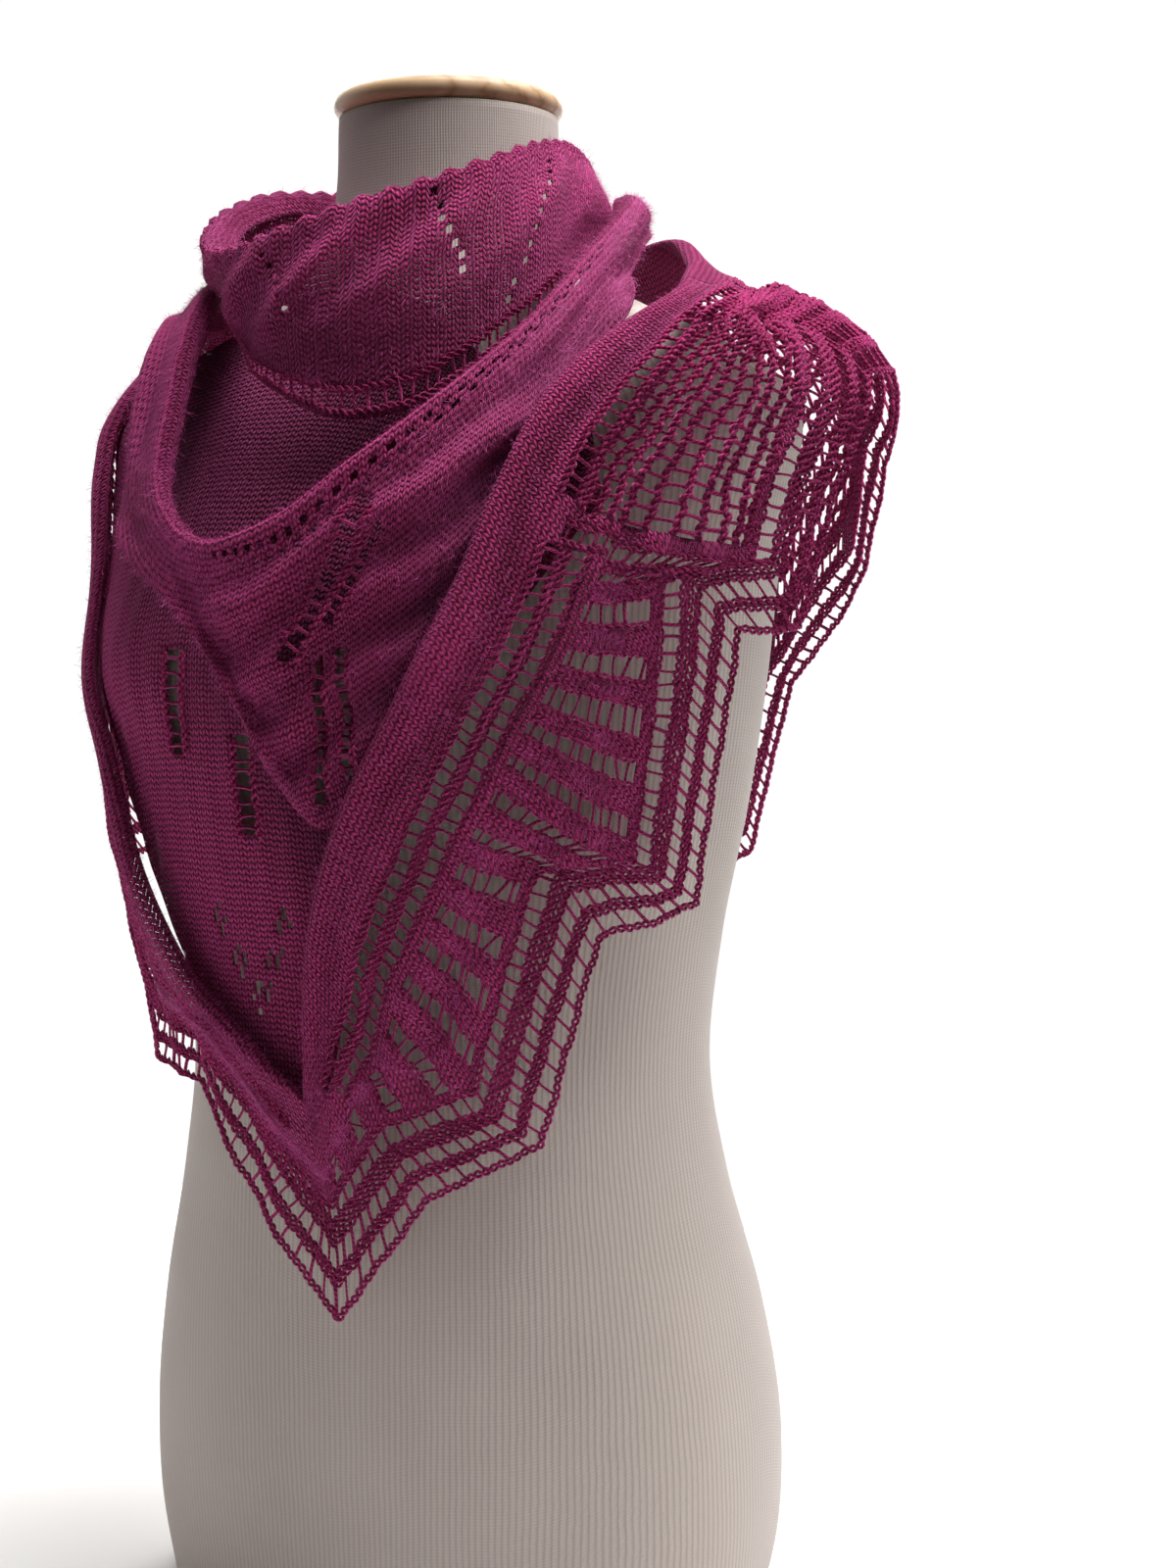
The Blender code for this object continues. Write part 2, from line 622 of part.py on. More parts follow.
def paint(obj, name, color, roughness):
    """Give an object its plain material."""
    material = bpy.data.materials.get(name)
    if material is None:
        material = bpy.data.materials.new(name)
        material.use_nodes = True
        shader = material.node_tree.nodes["Principled BSDF"]
        shader.inputs["Base Color"].default_value = (*color, 1.0)
        shader.inputs["Roughness"].default_value = roughness
    obj.data.materials.append(material)


for old in list(bpy.data.objects):
    bpy.data.objects.remove(old, do_unlink=True)

PART = bpy.data.collections.new("lace_shawl_on_dress_form")
bpy.context.scene.collection.children.link(PART)

paint(make_form(), "jersey", (0.80, 0.76, 0.70), 0.9)
paint(make_cap(), "wood", (0.72, 0.50, 0.33), 0.5)

knit = (0.42, 0.03, 0.20)
lace = (0.55, 0.06, 0.30)
paint(make_cowl(), "knit", knit, 0.9)
paint(make_swag(), "knit", knit, 0.9)
paint(make_chest(), "knit", knit, 0.9)

TAIL_RIGHT = 0
SHOULDER_RIGHT = CORNER - SHOULDER_STATION
SHOULDER_LEFT = CORNER + SHOULDER_STATION
TAIL_LEFT = len(WING["phi"]) - 1
paint(wing_body("back_right", TAIL_RIGHT, SHOULDER_RIGHT), "knit", knit, 0.9)
paint(wing_body("front", SHOULDER_RIGHT, SHOULDER_LEFT), "knit", knit, 0.9)
paint(wing_body("back_left", SHOULDER_LEFT, TAIL_LEFT), "knit", knit, 0.9)
paint(edging("edging_back_right", TAIL_RIGHT, SHOULDER_RIGHT, EDGING_BACK, (1,), CELL_BACK), "lace", lace, 0.9)
paint(edging("edging_front", SHOULDER_RIGHT, SHOULDER_LEFT, EDGING_FRONT, (1, 3), CELL_FRONT), "lace", lace, 0.9)
paint(edging("edging_back_left", SHOULDER_LEFT, TAIL_LEFT, EDGING_BACK, (1,), CELL_BACK), "lace", lace, 0.9)
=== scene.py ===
# %% [markdown]
# # A lace shawl on a dress form
# The CAD frame gives the true sizes of the form and of every stretch of the shawl.
# This script dresses it: jersey on the form, turned wood on the neck, and wool knitted
# by the maths of its surface.
# Each stretch is a function of two parameters, so the same function can place a sheet of
# stocking stitch, a ladder's rungs, or the chained rails beside them.

# %% Load the frame and keep its box
import bmesh
import bpy
import numpy as np
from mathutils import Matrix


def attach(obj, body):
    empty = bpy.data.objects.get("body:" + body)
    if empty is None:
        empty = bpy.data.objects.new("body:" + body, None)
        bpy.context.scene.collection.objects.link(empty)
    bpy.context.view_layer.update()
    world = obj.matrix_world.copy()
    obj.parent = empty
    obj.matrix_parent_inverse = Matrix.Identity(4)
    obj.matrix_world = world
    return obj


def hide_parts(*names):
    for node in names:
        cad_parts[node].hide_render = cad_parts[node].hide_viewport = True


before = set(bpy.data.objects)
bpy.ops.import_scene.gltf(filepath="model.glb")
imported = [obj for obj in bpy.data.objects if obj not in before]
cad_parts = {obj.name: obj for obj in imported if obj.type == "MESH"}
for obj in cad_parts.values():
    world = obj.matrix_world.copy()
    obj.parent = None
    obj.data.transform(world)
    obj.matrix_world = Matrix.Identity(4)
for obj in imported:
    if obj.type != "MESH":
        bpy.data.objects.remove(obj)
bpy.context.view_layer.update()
print("frame nodes:", sorted(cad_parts))

# %% [markdown]
# ## The camera
# The picture was taken from about the height of the bust, about 36 degrees round towards the
# form's left.
# A level camera keeps the verticals upright, as they are in the picture, so the height of
# the view is set by the lens shift and not by tilting.

# %% Camera
CAMERA_TURN = np.radians(36.0)
CAMERA_AWAY = 1.15
CAMERA_HEIGHT = 0.438
FOCAL_PIXELS = 2506.0
SIDE_PIXELS = 142.0
SHIFT_PIXELS = -135.0
FRAME_PIXELS = 1600.0
SENSOR = 36.0

lens = bpy.data.cameras.new("picture_camera")
lens.sensor_width = SENSOR
lens.lens = SENSOR * FOCAL_PIXELS / FRAME_PIXELS
lens.shift_y = SHIFT_PIXELS / FRAME_PIXELS
lens.clip_start = 0.05
lens.clip_end = 30.0
camera = bpy.data.objects.new("picture_camera", lens)
camera.location = (CAMERA_AWAY * np.sin(CAMERA_TURN), -CAMERA_AWAY * np.cos(CAMERA_TURN), CAMERA_HEIGHT)
camera.rotation_euler = (np.pi / 2, 0.0, CAMERA_TURN - np.arctan(SIDE_PIXELS / FOCAL_PIXELS))
bpy.context.scene.collection.objects.link(camera)
bpy.context.scene.camera = camera
print("lens", round(lens.lens, 2), "mm")

# %% [markdown]
# ## Floor and light
# Wool shows best with light from behind: it glows through the open stitches and lights the
# halo of fibres along every fold.
# A broad window stands behind the form and a soft lamp hangs over it. Weak wide lamps at the
# sides and in front keep the hollows of the folds dark wine without going black.
# The room itself grows brighter towards the window.

# %% Floor and soft light
FLOOR_SIZE = 1.4
FLOOR_DROP = 0.0005


def plain_plane(name, size, z):
    """A square sheet: the corners are at plus and minus half its size."""
    half = size / 2
    mesh = bpy.data.meshes.new(name)
    corners = [(-half, -half, z), (half, -half, z), (half, half, z), (-half, half, z)]
    mesh.from_pydata(corners, [], [(0, 1, 2, 3)])
    made = bpy.data.objects.new(name, mesh)
    bpy.context.scene.collection.objects.link(made)
    return made


def plain_paint(name, color, roughness):
    """A one colour finish for what isn't part of the object."""
    paint = bpy.data.materials.new(name)
    paint.use_nodes = True
    shader = paint.node_tree.nodes["Principled BSDF"]
    shader.inputs["Base Color"].default_value = (*color, 1.0)
    shader.inputs["Roughness"].default_value = roughness
    return paint


floor = plain_plane("floor", FLOOR_SIZE, -FLOOR_DROP)
floor.data.materials.append(plain_paint("pale_floor", (0.90, 0.895, 0.89), 0.8))


def soft_lamp(name, place, aim, size, watts, color):
    """An area lamp: its axis is the unit vector from its place to the point it is aimed at."""
    data = bpy.data.lights.new(name, "AREA")
    data.shape = "RECTANGLE"
    data.size, data.size_y = size
    data.energy = watts
    data.color = color
    lamp = bpy.data.objects.new(name, data)
    lamp.location = place
    away = np.array(place, float) - np.array(aim, float)
    turn = np.arctan2(away[0], -away[1])
    lamp.rotation_euler = (np.arctan2(np.hypot(away[0], away[1]), away[2]), 0.0, turn)
    bpy.context.scene.collection.objects.link(lamp)
    return lamp


AIM = (0.0, 0.0, 0.42)
soft_lamp("window_behind", (-1.0, 1.55, 0.95), AIM, (1.8, 1.6), 40.0, (1.0, 0.99, 0.98))
soft_lamp("window_right", (1.75, 0.75, 0.80), AIM, (0.9, 1.6), 3.5, (1.0, 0.99, 0.98))
soft_lamp("window_left", (-1.65, -0.15, 0.85), AIM, (0.8, 1.4), 2.4, (1.0, 0.98, 0.98))
soft_lamp("sky_above", (0.50, 0.10, 2.0), AIM, (1.2, 1.2), 52.0, (1.0, 0.99, 0.98))
soft_lamp("room_front", (0.75, -2.0, 0.75), AIM, (1.6, 1.6), 0.8, (1.0, 0.95, 0.93))


ROOM_SPREAD = (0.12, 0.84)


def lit_room(name, towards, dim, bright):
    """World light by direction: the dot product with one horizontal direction is spread
    smoothly from dim, away from it, to bright, ahead along it."""
    made = bpy.data.worlds.new(name)
    made.use_nodes = True
    tree = made.node_tree
    place = tree.nodes.new("ShaderNodeTexCoord")
    dot = tree.nodes.new("ShaderNodeVectorMath")
    dot.operation = "DOT_PRODUCT"
    dot.inputs[1].default_value = towards
    tree.links.new(place.outputs["Generated"], dot.inputs[0])
    spread = tree.nodes.new("ShaderNodeMapRange")
    spread.interpolation_type = "SMOOTHSTEP"
    spread.inputs["From Min"].default_value, spread.inputs["From Max"].default_value = ROOM_SPREAD
    spread.inputs["To Min"].default_value = dim
    spread.inputs["To Max"].default_value = bright
    tree.links.new(dot.outputs["Value"], spread.inputs["Value"])
    back = tree.nodes["Background"]
    back.inputs["Color"].default_value = (1.0, 0.995, 0.99, 1.0)
    tree.links.new(spread.outputs[0], back.inputs["Strength"])
    return made


AHEAD = (-float(np.sin(CAMERA_TURN)), float(np.cos(CAMERA_TURN)), 0.0)
bpy.context.scene.world = lit_room("bright_window_room", AHEAD, 0.075, 1.03)
bpy.context.scene.view_settings.view_transform = "Standard"

# %% [markdown]
# ## The form and the drape surface
# Tables of a few heights give the form's half width and depths, and cubic curves join them.
# The drape surface is a second, looser skin just outside the form.
# Every stretch of cloth is placed by an angle and a height on that skin and by its lift, the
# distance it stands off.

# %% Tables of the form and of the drape surface
BODY_GAP = 0.0039
BUST_ANGLE = 33.0
BUST_HEIGHT = 0.430
BUST_RISE = 0.012
# half width of a bump in degrees round and in metres up
BUST_SPREAD = (20, 0.045)
# how softly the drape surface's table turns into its least distance from the form
BLEND = 0.005
# height, half width, front depth, back depth, squareness
FORM = (
    (0.000, 0.144, 0.090, 0.140, 2.10),
    (0.030, 0.151, 0.093, 0.150, 2.10),
    (0.080, 0.153, 0.097, 0.153, 2.10),
    (0.140, 0.146, 0.099, 0.138, 2.10),
    (0.200, 0.133, 0.099, 0.113, 2.10),
    (0.250, 0.127, 0.098, 0.098, 2.10),
    (0.310, 0.133, 0.105, 0.102, 2.10),
    (0.370, 0.145, 0.119, 0.110, 2.15),
    (0.430, 0.154, 0.131, 0.114, 2.20),
    (0.480, 0.159, 0.122, 0.116, 2.30),
    (0.520, 0.168, 0.104, 0.112, 2.40),
    (0.545, 0.172, 0.090, 0.102, 2.40),
    (0.560, 0.165, 0.080, 0.092, 2.30),
    (0.575, 0.143, 0.070, 0.082, 2.20),
    (0.590, 0.110, 0.062, 0.072, 2.10),
    (0.605, 0.081, 0.057, 0.062, 2.00),
    (0.622, 0.063, 0.053, 0.055, 2.00),
    (0.645, 0.055, 0.050, 0.051, 2.00),
    (0.686, 0.0515, 0.0500, 0.0490, 2.00),
)
# height, reach to the left, to the right, to the front, to the back
DRAPE = (
    (0.120, 0.150, 0.148, 0.112, 0.152),
    (0.150, 0.147, 0.145, 0.114, 0.142),
    (0.200, 0.139, 0.135, 0.117, 0.124),
    (0.250, 0.138, 0.134, 0.121, 0.119),
    (0.300, 0.144, 0.144, 0.127, 0.122),
    (0.350, 0.154, 0.153, 0.136, 0.126),
    (0.400, 0.168, 0.161, 0.143, 0.129),
    (0.430, 0.178, 0.164, 0.144, 0.130),
    (0.460, 0.187, 0.165, 0.140, 0.130),
    (0.500, 0.196, 0.166, 0.125, 0.128),
    (0.530, 0.201, 0.171, 0.108, 0.124),
    (0.550, 0.201, 0.173, 0.095, 0.119),
    (0.565, 0.190, 0.166, 0.085, 0.112),
    (0.580, 0.165, 0.148, 0.076, 0.103),
    (0.590, 0.140, 0.124, 0.070, 0.095),
    (0.600, 0.114, 0.103, 0.066, 0.086),
    (0.615, 0.086, 0.081, 0.062, 0.075),
    (0.630, 0.072, 0.071, 0.059, 0.067),
    (0.650, 0.064, 0.064, 0.057, 0.061),
    (0.686, 0.058, 0.058, 0.055, 0.056),
)


def hermite(t, span, start, end, start_slope, end_slope):
    """Cubic over one span, t from 0 to 1: each end's value and slope has its own weight in t."""
    a = (2 * t**3 - 3 * t**2 + 1) * start + (t**3 - 2 * t**2 + t) * span * start_slope
    b = (3 * t**2 - 2 * t**3) * end + (t**3 - t**2) * span * end_slope
    return a + b


def smooth(xs, ys, x):
    """Cubic through a table's points, with the slopes at each point taken from its neighbours."""
    xs = np.asarray(xs, float)
    ys = np.asarray(ys, float)
    slopes = np.gradient(ys, xs)
    x = np.clip(x, xs[0], xs[-1])
    i = np.clip(np.searchsorted(xs, x, side="right") - 1, 0, len(xs) - 2)
    h = xs[i + 1] - xs[i]
    return hermite((x - xs[i]) / h, h, ys[i], ys[i + 1], slopes[i], slopes[i + 1])


def column(table, k):
    """One named column of a table as an array."""
    return np.array([row[k] for row in table], float)


def form_radius(phi, z):
    """Reach of the form: a rounded ellipse (|sin/width|^n + |cos/depth|^n)^(-1/n), plus two
    soft bumps at the bust."""
    heights = column(FORM, 0)
    width = smooth(heights, column(FORM, 1), z)
    front = smooth(heights, column(FORM, 2), z)
    back = smooth(heights, column(FORM, 3), z)
    power = smooth(heights, column(FORM, 4), z)
    side = np.sin(phi)
    ahead = np.cos(phi)
    share = 0.5 + 0.5 * np.tanh(4 * ahead)
    depth = share * front + (1 - share) * back
    r = (np.abs(side / width) ** power + np.abs(ahead / depth) ** power) ** (-1 / power)
    for sign in (-1, 1):
        off = (phi - sign * np.radians(BUST_ANGLE) + np.pi) % (2 * np.pi) - np.pi
        rise = -((off / np.radians(BUST_SPREAD[0])) ** 2) - ((z - BUST_HEIGHT) / BUST_SPREAD[1]) ** 2
        r = r + BUST_RISE * np.exp(rise)
    return r


def drape_radius(phi, z):
    """Reach of the drape surface: quarter ellipses from its own table, blended into a least
    distance so that it never comes closer to the form than the gap."""
    heights = column(DRAPE, 0)
    side = np.sin(phi)
    ahead = np.cos(phi)
    left, right, front, back = [smooth(heights, column(DRAPE, k), z) for k in range(1, 5)]
    width = np.where(side > 0, left, right)
    depth = np.where(ahead > 0, front, back)
    table = 1 / np.sqrt((side / width) ** 2 + (ahead / depth) ** 2)
    least = form_radius(phi, z) + BODY_GAP
    return 0.5 * (table + least + np.sqrt((table - least) ** 2 + BLEND**2))


def polar(phi, z, r):
    """Point at an angle, height and reach: x is r sin, y is minus r cos."""
    phi, z, r = np.broadcast_arrays(phi, z, r)
    return np.stack([r * np.sin(phi), -r * np.cos(phi), z], axis=-1)


def on_drape(phi, z, lift):
    """The drape point at an angle and height, moved out by the lift along the unit normal there."""
    phi, z, lift = np.broadcast_arrays(phi, z, lift)
    step = 1e-3

    def skin(turned, raised):
        return polar(turned, raised, drape_radius(turned, raised))

    along = skin(phi + step, z) - skin(phi - step, z)
    up = skin(phi, z + step) - skin(phi, z - step)
    normal = np.cross(along, up)
    normal /= np.linalg.norm(normal, axis=-1, keepdims=True)
    return skin(phi, z) + normal * lift[..., None]


print("neck across", round(2000 * float(form_radius(np.pi / 2, 0.686))), "mm")

# %% [markdown]
# Cloth keeps its length, so the wings are laid out by the length down the drape surface and
# not by height.
# Two tables turn height into length and back.

# %% Length down the drape surface
LEVELS = np.linspace(0.100, 0.686, 294)
TURNS = np.radians(np.arange(-240, 241, 2.0))
reach_table = drape_radius(TURNS[:, None], LEVELS[None, :])
step_table = np.hypot(np.diff(reach_table, axis=1), np.diff(LEVELS)[None, :])
from_neck = np.cumsum(step_table[:, ::-1], axis=1)[:, ::-1]
ARC_TABLE = np.hstack([from_neck, np.zeros((len(TURNS), 1))])
ARCS = np.linspace(0.0, 0.66, 331)
HEIGHT_TABLE = np.array([np.interp(ARCS, row[::-1], LEVELS[::-1]) for row in ARC_TABLE])


def look_up(table, rows, cols, r, c):
    """Bilinear reading of a table: the four corners round the place, weighted by how near each
    is."""
    r, c = np.broadcast_arrays(r, c)
    i = np.clip((r - rows[0]) / (rows[1] - rows[0]), 0, len(rows) - 1.001)
    j = np.clip((c - cols[0]) / (cols[1] - cols[0]), 0, len(cols) - 1.001)
    i0 = i.astype(int)
    j0 = j.astype(int)
    a = i - i0
    b = j - j0
    top = table[i0, j0] * (1 - b) + table[i0, j0 + 1] * b
    low = table[i0 + 1, j0] * (1 - b) + table[i0 + 1, j0 + 1] * b
    return top * (1 - a) + low * a


def arc_at(phi, z):
    """Length down the drape surface from the neck to a height."""
    return look_up(ARC_TABLE, TURNS, LEVELS, phi, z)


def height_at(phi, arc):
    """Height reached after a length down the drape surface."""
    return look_up(HEIGHT_TABLE, TURNS, ARCS, phi, arc)


print("from neck to hip at the front:", round(float(arc_at(0.0, 0.1)), 3), "m")

# %% [markdown]
# ## Making meshes from arrays
# A sheet is a grid of points, with the cells of its ladders left out.
# Yarn is a tube: a small polygon carried along a path, turned to the cloth's normal.

# %% Mesh helpers


def unit(vectors):
    """The same directions, each divided by its length."""
    return vectors / (np.linalg.norm(vectors, axis=-1, keepdims=True) + 1e-12)


def run_along(line):
    """Running length along a polyline, 0 at its first point."""
    return np.concatenate([[0], np.cumsum(np.linalg.norm(np.diff(line, axis=0), axis=1))])


def put_mesh(name, points, faces, uv, material):
    """Quads or triangles from an index array; the UV is one pair for each corner of each face."""
    mesh = bpy.data.meshes.new(name)
    sides = faces.shape[1]
    mesh.vertices.add(len(points))
    mesh.vertices.foreach_set("co", points.astype(np.float32).ravel())
    mesh.loops.add(faces.size)
    mesh.loops.foreach_set("vertex_index", faces.astype(np.int32).ravel())
    mesh.polygons.add(len(faces))
    mesh.polygons.foreach_set("loop_start", np.arange(0, faces.size, sides, dtype=np.int32))
    mesh.polygons.foreach_set("use_smooth", np.ones(len(faces), bool))
    layer = mesh.uv_layers.new(name="UVMap")
    layer.data.foreach_set("uv", uv.astype(np.float32).ravel())
    mesh.update(calc_edges=True)
    mesh.validate()
    mesh.materials.append(material)
    made = bpy.data.objects.new(name, mesh)
    bpy.context.scene.collection.objects.link(made)
    return made


def grid_faces(rows, cols, wrap):
    """Corner numbers of each cell, (i, j), (i, j+1), (i+1, j+1), (i+1, j); wrapped columns come
    round to the first."""
    i, j = np.meshgrid(np.arange(rows - 1), np.arange(cols if wrap else cols - 1), indexing="ij")
    n = (j + 1) % cols
    low = i + 1
    return np.stack([i * cols + j, i * cols + n, low * cols + n, low * cols + j], axis=-1)


def lengths(points, origin):
    """Running lengths over a grid: down each column, and along each row from its origin column,
    or averaged over the rows where there is no origin."""
    along = np.linalg.norm(np.diff(points, axis=1), axis=2)
    if origin is None:
        along = np.broadcast_to(along.mean(axis=0), along.shape)
    down = np.linalg.norm(np.diff(points, axis=0), axis=2)
    u = np.hstack([np.zeros((len(points), 1)), np.cumsum(along, axis=1)])
    v = np.vstack([np.zeros((1, points.shape[1])), np.cumsum(down, axis=0)])
    return u if origin is None else u - u[:, origin : origin + 1], v


def sheet_mesh(name, points, material, gaps=None, wall=0.0, wrap=False, origin=None, painted_shade=None):
    """A sheet from a grid of points: cells marked as gaps are left out, a wall gives it its
    thickness, and painted shade for its folds and hollows is stored as an attribute."""
    rows, cols = points.shape[:2]
    closed = np.concatenate([points, points[:, :1]], axis=1) if wrap else points
    u, v = lengths(closed, origin)
    cells = grid_faces(rows, cols, wrap)
    wide = grid_faces(rows, closed.shape[1], False)
    keep = np.ones(cells.shape[:2], bool) if gaps is None else ~gaps
    uv = np.stack([u, v], axis=-1).reshape(-1, 2)[wide[keep]]
    made = put_mesh(name, points.reshape(-1, 3), cells[keep], uv, material)
    # painted shade: a per-point attribute that the wool's finish reads to darken its colour
    if painted_shade is not None:
        kept = made.data.attributes.new("painted_shade", "FLOAT", "POINT")
        values = np.broadcast_to(painted_shade, (rows, cols)).astype(np.float32)
        kept.data.foreach_set("value", values.ravel())
    if wall:
        thick = made.modifiers.new("wall", "SOLIDIFY")
        thick.thickness = wall
        thick.offset = 0.0
    return made


def tube_arrays(path, normal, radius, sides=3):
    """Tubes round many paths at once: ring point k is path + r (cos a_k N + sin a_k B), with B
    square to path and N."""
    along = unit(np.gradient(path, axis=1))
    across = unit(np.cross(along, normal))
    up = np.cross(across, along)
    turn = 2 * np.pi * np.arange(sides) / sides
    ring = np.cos(turn)[:, None] * up[:, :, None, :] + np.sin(turn)[:, None] * across[:, :, None, :]
    points = path[:, :, None, :] + np.asarray(radius)[..., None, None] * ring
    count, steps = path.shape[:2]
    first = (np.arange(count) * steps * sides)[:, None, None]
    s = np.arange(steps - 1)[None, :, None] * sides
    k = np.arange(sides)[None, None, :]
    n = (k + 1) % sides
    here = first + s
    ahead = here + sides
    quads = np.stack([here + k, here + n, ahead + n, ahead + k], axis=-1)
    step = np.linalg.norm(np.diff(path, axis=1), axis=2)
    run = np.concatenate([np.zeros((count, 1)), np.cumsum(step, axis=1)], axis=1)
    a = run[:, :-1, None] + 0.0 * k
    b = run[:, 1:, None] + 0.0 * k
    v = k / sides + 0.0 * a
    w = (k + 1) / sides + 0.0 * a
    uv = np.stack([np.stack(pair, -1) for pair in ((a, v), (a, w), (b, w), (b, v))], axis=3)
    quads = quads.reshape(-1, 4)
    uv = uv.reshape(-1, 4, 2)
    tris = np.concatenate([quads[:, [0, 1, 2]], quads[:, [0, 2, 3]]])
    tri_uv = np.concatenate([uv[:, [0, 1, 2]], uv[:, [0, 2, 3]]])
    base = first[:, 0, 0]
    last = base + (steps - 1) * sides
    caps = [np.stack([base, base + j + 1, base + j], axis=-1) for j in range(1, sides - 1)]
    caps += [np.stack([last, last + j, last + j + 1], axis=-1) for j in range(1, sides - 1)]
    caps = np.concatenate(caps)
    uv = np.concatenate([tri_uv, np.zeros((len(caps), 3, 2))])
    return points.reshape(-1, 3), np.concatenate([tris, caps]), uv


def join_arrays(parts):
    """Several sets of points, faces and UVs as one, the face numbers moved on by the points
    before them."""
    points, faces, uv, start = [], [], [], 0
    for p, f, t in parts:
        points.append(p)
        faces.append(f + start)
        uv.append(t)
        start += len(p)
    return np.concatenate(points), np.concatenate(faces), np.concatenate(uv)


print("helpers ready")

# %% [markdown]
# ## Wool, jersey and wood
# The yarn is a brushed wool: its core is dark wine, its halo of fibres is bright pink, so
# the finish is a dark base under a strong sheen.
# Stocking stitch is drawn by its own geometry, columns of V shapes worked out from the
# sheet's UV map, which is in metres.
# The same height field opens a pinhole beside each stitch, because the wool was knitted loosely.

# %% Helpers for node materials


class Nodes:
    """A material's node tree with short calls for the few kinds of node used here."""

    def __init__(self, name):
        self.material = bpy.data.materials.new(name)
        self.material.use_nodes = True
        self.tree = self.material.node_tree
        self.shader = self.tree.nodes["Principled BSDF"]

    def add(self, kind, **values):
        node = self.tree.nodes.new(kind)
        for key, value in values.items():
            setattr(node, key, value)
        return node

    def link(self, source, target):
        self.tree.links.new(source, target)

    def math(self, operation, *inputs):
        """One arithmetic step on numbers or on other nodes' outputs."""
        node = self.add("ShaderNodeMath", operation=operation)
        for k, value in enumerate(inputs):
            if isinstance(value, (int, float)):
                node.inputs[k].default_value = value
            else:
                self.link(value, node.inputs[k])
        return node.outputs[0]

    def plus(self, base, value, weight):
        """A base with a weighted value added to it."""
        return self.math("ADD", base, self.math("MULTIPLY", value, weight))

    def hump(self, value):
        """Sine of pi times a value."""
        return self.math("SINE", self.math("MULTIPLY", value, np.pi))

    def place(self, kind="Object"):
        return self.add("ShaderNodeTexCoord").outputs[kind]

    def split(self, vector):
        node = self.add("ShaderNodeSeparateXYZ")
        self.link(vector, node.inputs[0])
        return node.outputs

    def noise(self, vector, scale, detail=2.0, roughness=0.5):
        node = self.add("ShaderNodeTexNoise")
        self.link(vector, node.inputs["Vector"])
        node.inputs["Scale"].default_value = scale
        node.inputs["Detail"].default_value = detail
        node.inputs["Roughness"].default_value = roughness
        return node.outputs[0]

    def ramp(self, value, stops):
        node = self.add("ShaderNodeValToRGB")
        elements = node.color_ramp.elements
        while len(elements) < len(stops):
            elements.new(0.5)
        for element, (position, color) in zip(elements, stops):
            element.position = position
            element.color = (*color, 1.0)
        self.link(value, node.inputs[0])
        return node.outputs["Color"]

    def paint_shade(self, color, amount, most):
        """Painted shade: a colour scaled by 1 minus a share of the amount, standing in for light that
        fails in a hollow.
        """
        node = self.add("ShaderNodeVectorMath", operation="SCALE")
        self.link(color, node.inputs[0])
        left = self.math("SUBTRACT", 1.0, self.math("MULTIPLY", amount, most))
        self.link(left, node.inputs["Scale"])
        return node.outputs[0]

    def range(self, value, low, high, first, last):
        node = self.add("ShaderNodeMapRange")
        node.inputs["From Min"].default_value = low
        node.inputs["From Max"].default_value = high
        node.inputs["To Min"].default_value = first
        node.inputs["To Max"].default_value = last
        self.link(value, node.inputs["Value"])
        return node.outputs[0]

    def bump(self, height, strength, distance):
        node = self.add("ShaderNodeBump")
        node.inputs["Strength"].default_value = strength
        node.inputs["Distance"].default_value = distance
        self.link(height, node.inputs["Height"])
        self.link(node.outputs["Normal"], self.shader.inputs["Normal"])

    def finish(self, color, roughness, specular):
        """Links the colour and sets the two plain numbers that every finish here has."""
        self.link(color, self.shader.inputs["Base Color"])
        self.shader.inputs["Roughness"].default_value = roughness
        self.shader.inputs["Specular IOR Level"].default_value = specular

    def sheen(self, weight, roughness, tint=(1.0, 1.0, 1.0)):
        """The glow of loose fibres at a grazing angle."""
        self.shader.inputs["Sheen Weight"].default_value = weight
        self.shader.inputs["Sheen Roughness"].default_value = roughness
        self.shader.inputs["Sheen Tint"].default_value = (*tint, 1.0)


print("node helpers ready")

# %% [markdown]
# A stitch is two legs that lean together.
# Across one column, a is 0 at its middle and 1 at its sides, and each leg is a hump of
# sin(pi a). Down the column, a strand repeats each row, and about half a row later for each
# unit of a, which slants the legs into a V.

# %% Knitted wool
STITCH_WIDE = 0.0038
STITCH_TALL = 0.0027
WINE = (0.036, 0.0042, 0.011)
RASPBERRY = (0.195, 0.0125, 0.052)
PINK = (0.640, 0.0520, 0.250)
WOOL_ROUGHNESS = 0.92
WOOL_SPECULAR = 0.15
SHEEN_ROUGHNESS = 0.45
SHEEN_PINK = (1.0, 0.20, 0.56)
# the most that painted shade darkens the wool's colour, where the shade attribute is 1
PAINTED_SHADE_MOST = 0.82
# height of the stitch below which the knitting is open, and how softly it opens
PINHOLE_LEVEL = 0.32
PINHOLE_SOFT = 0.05


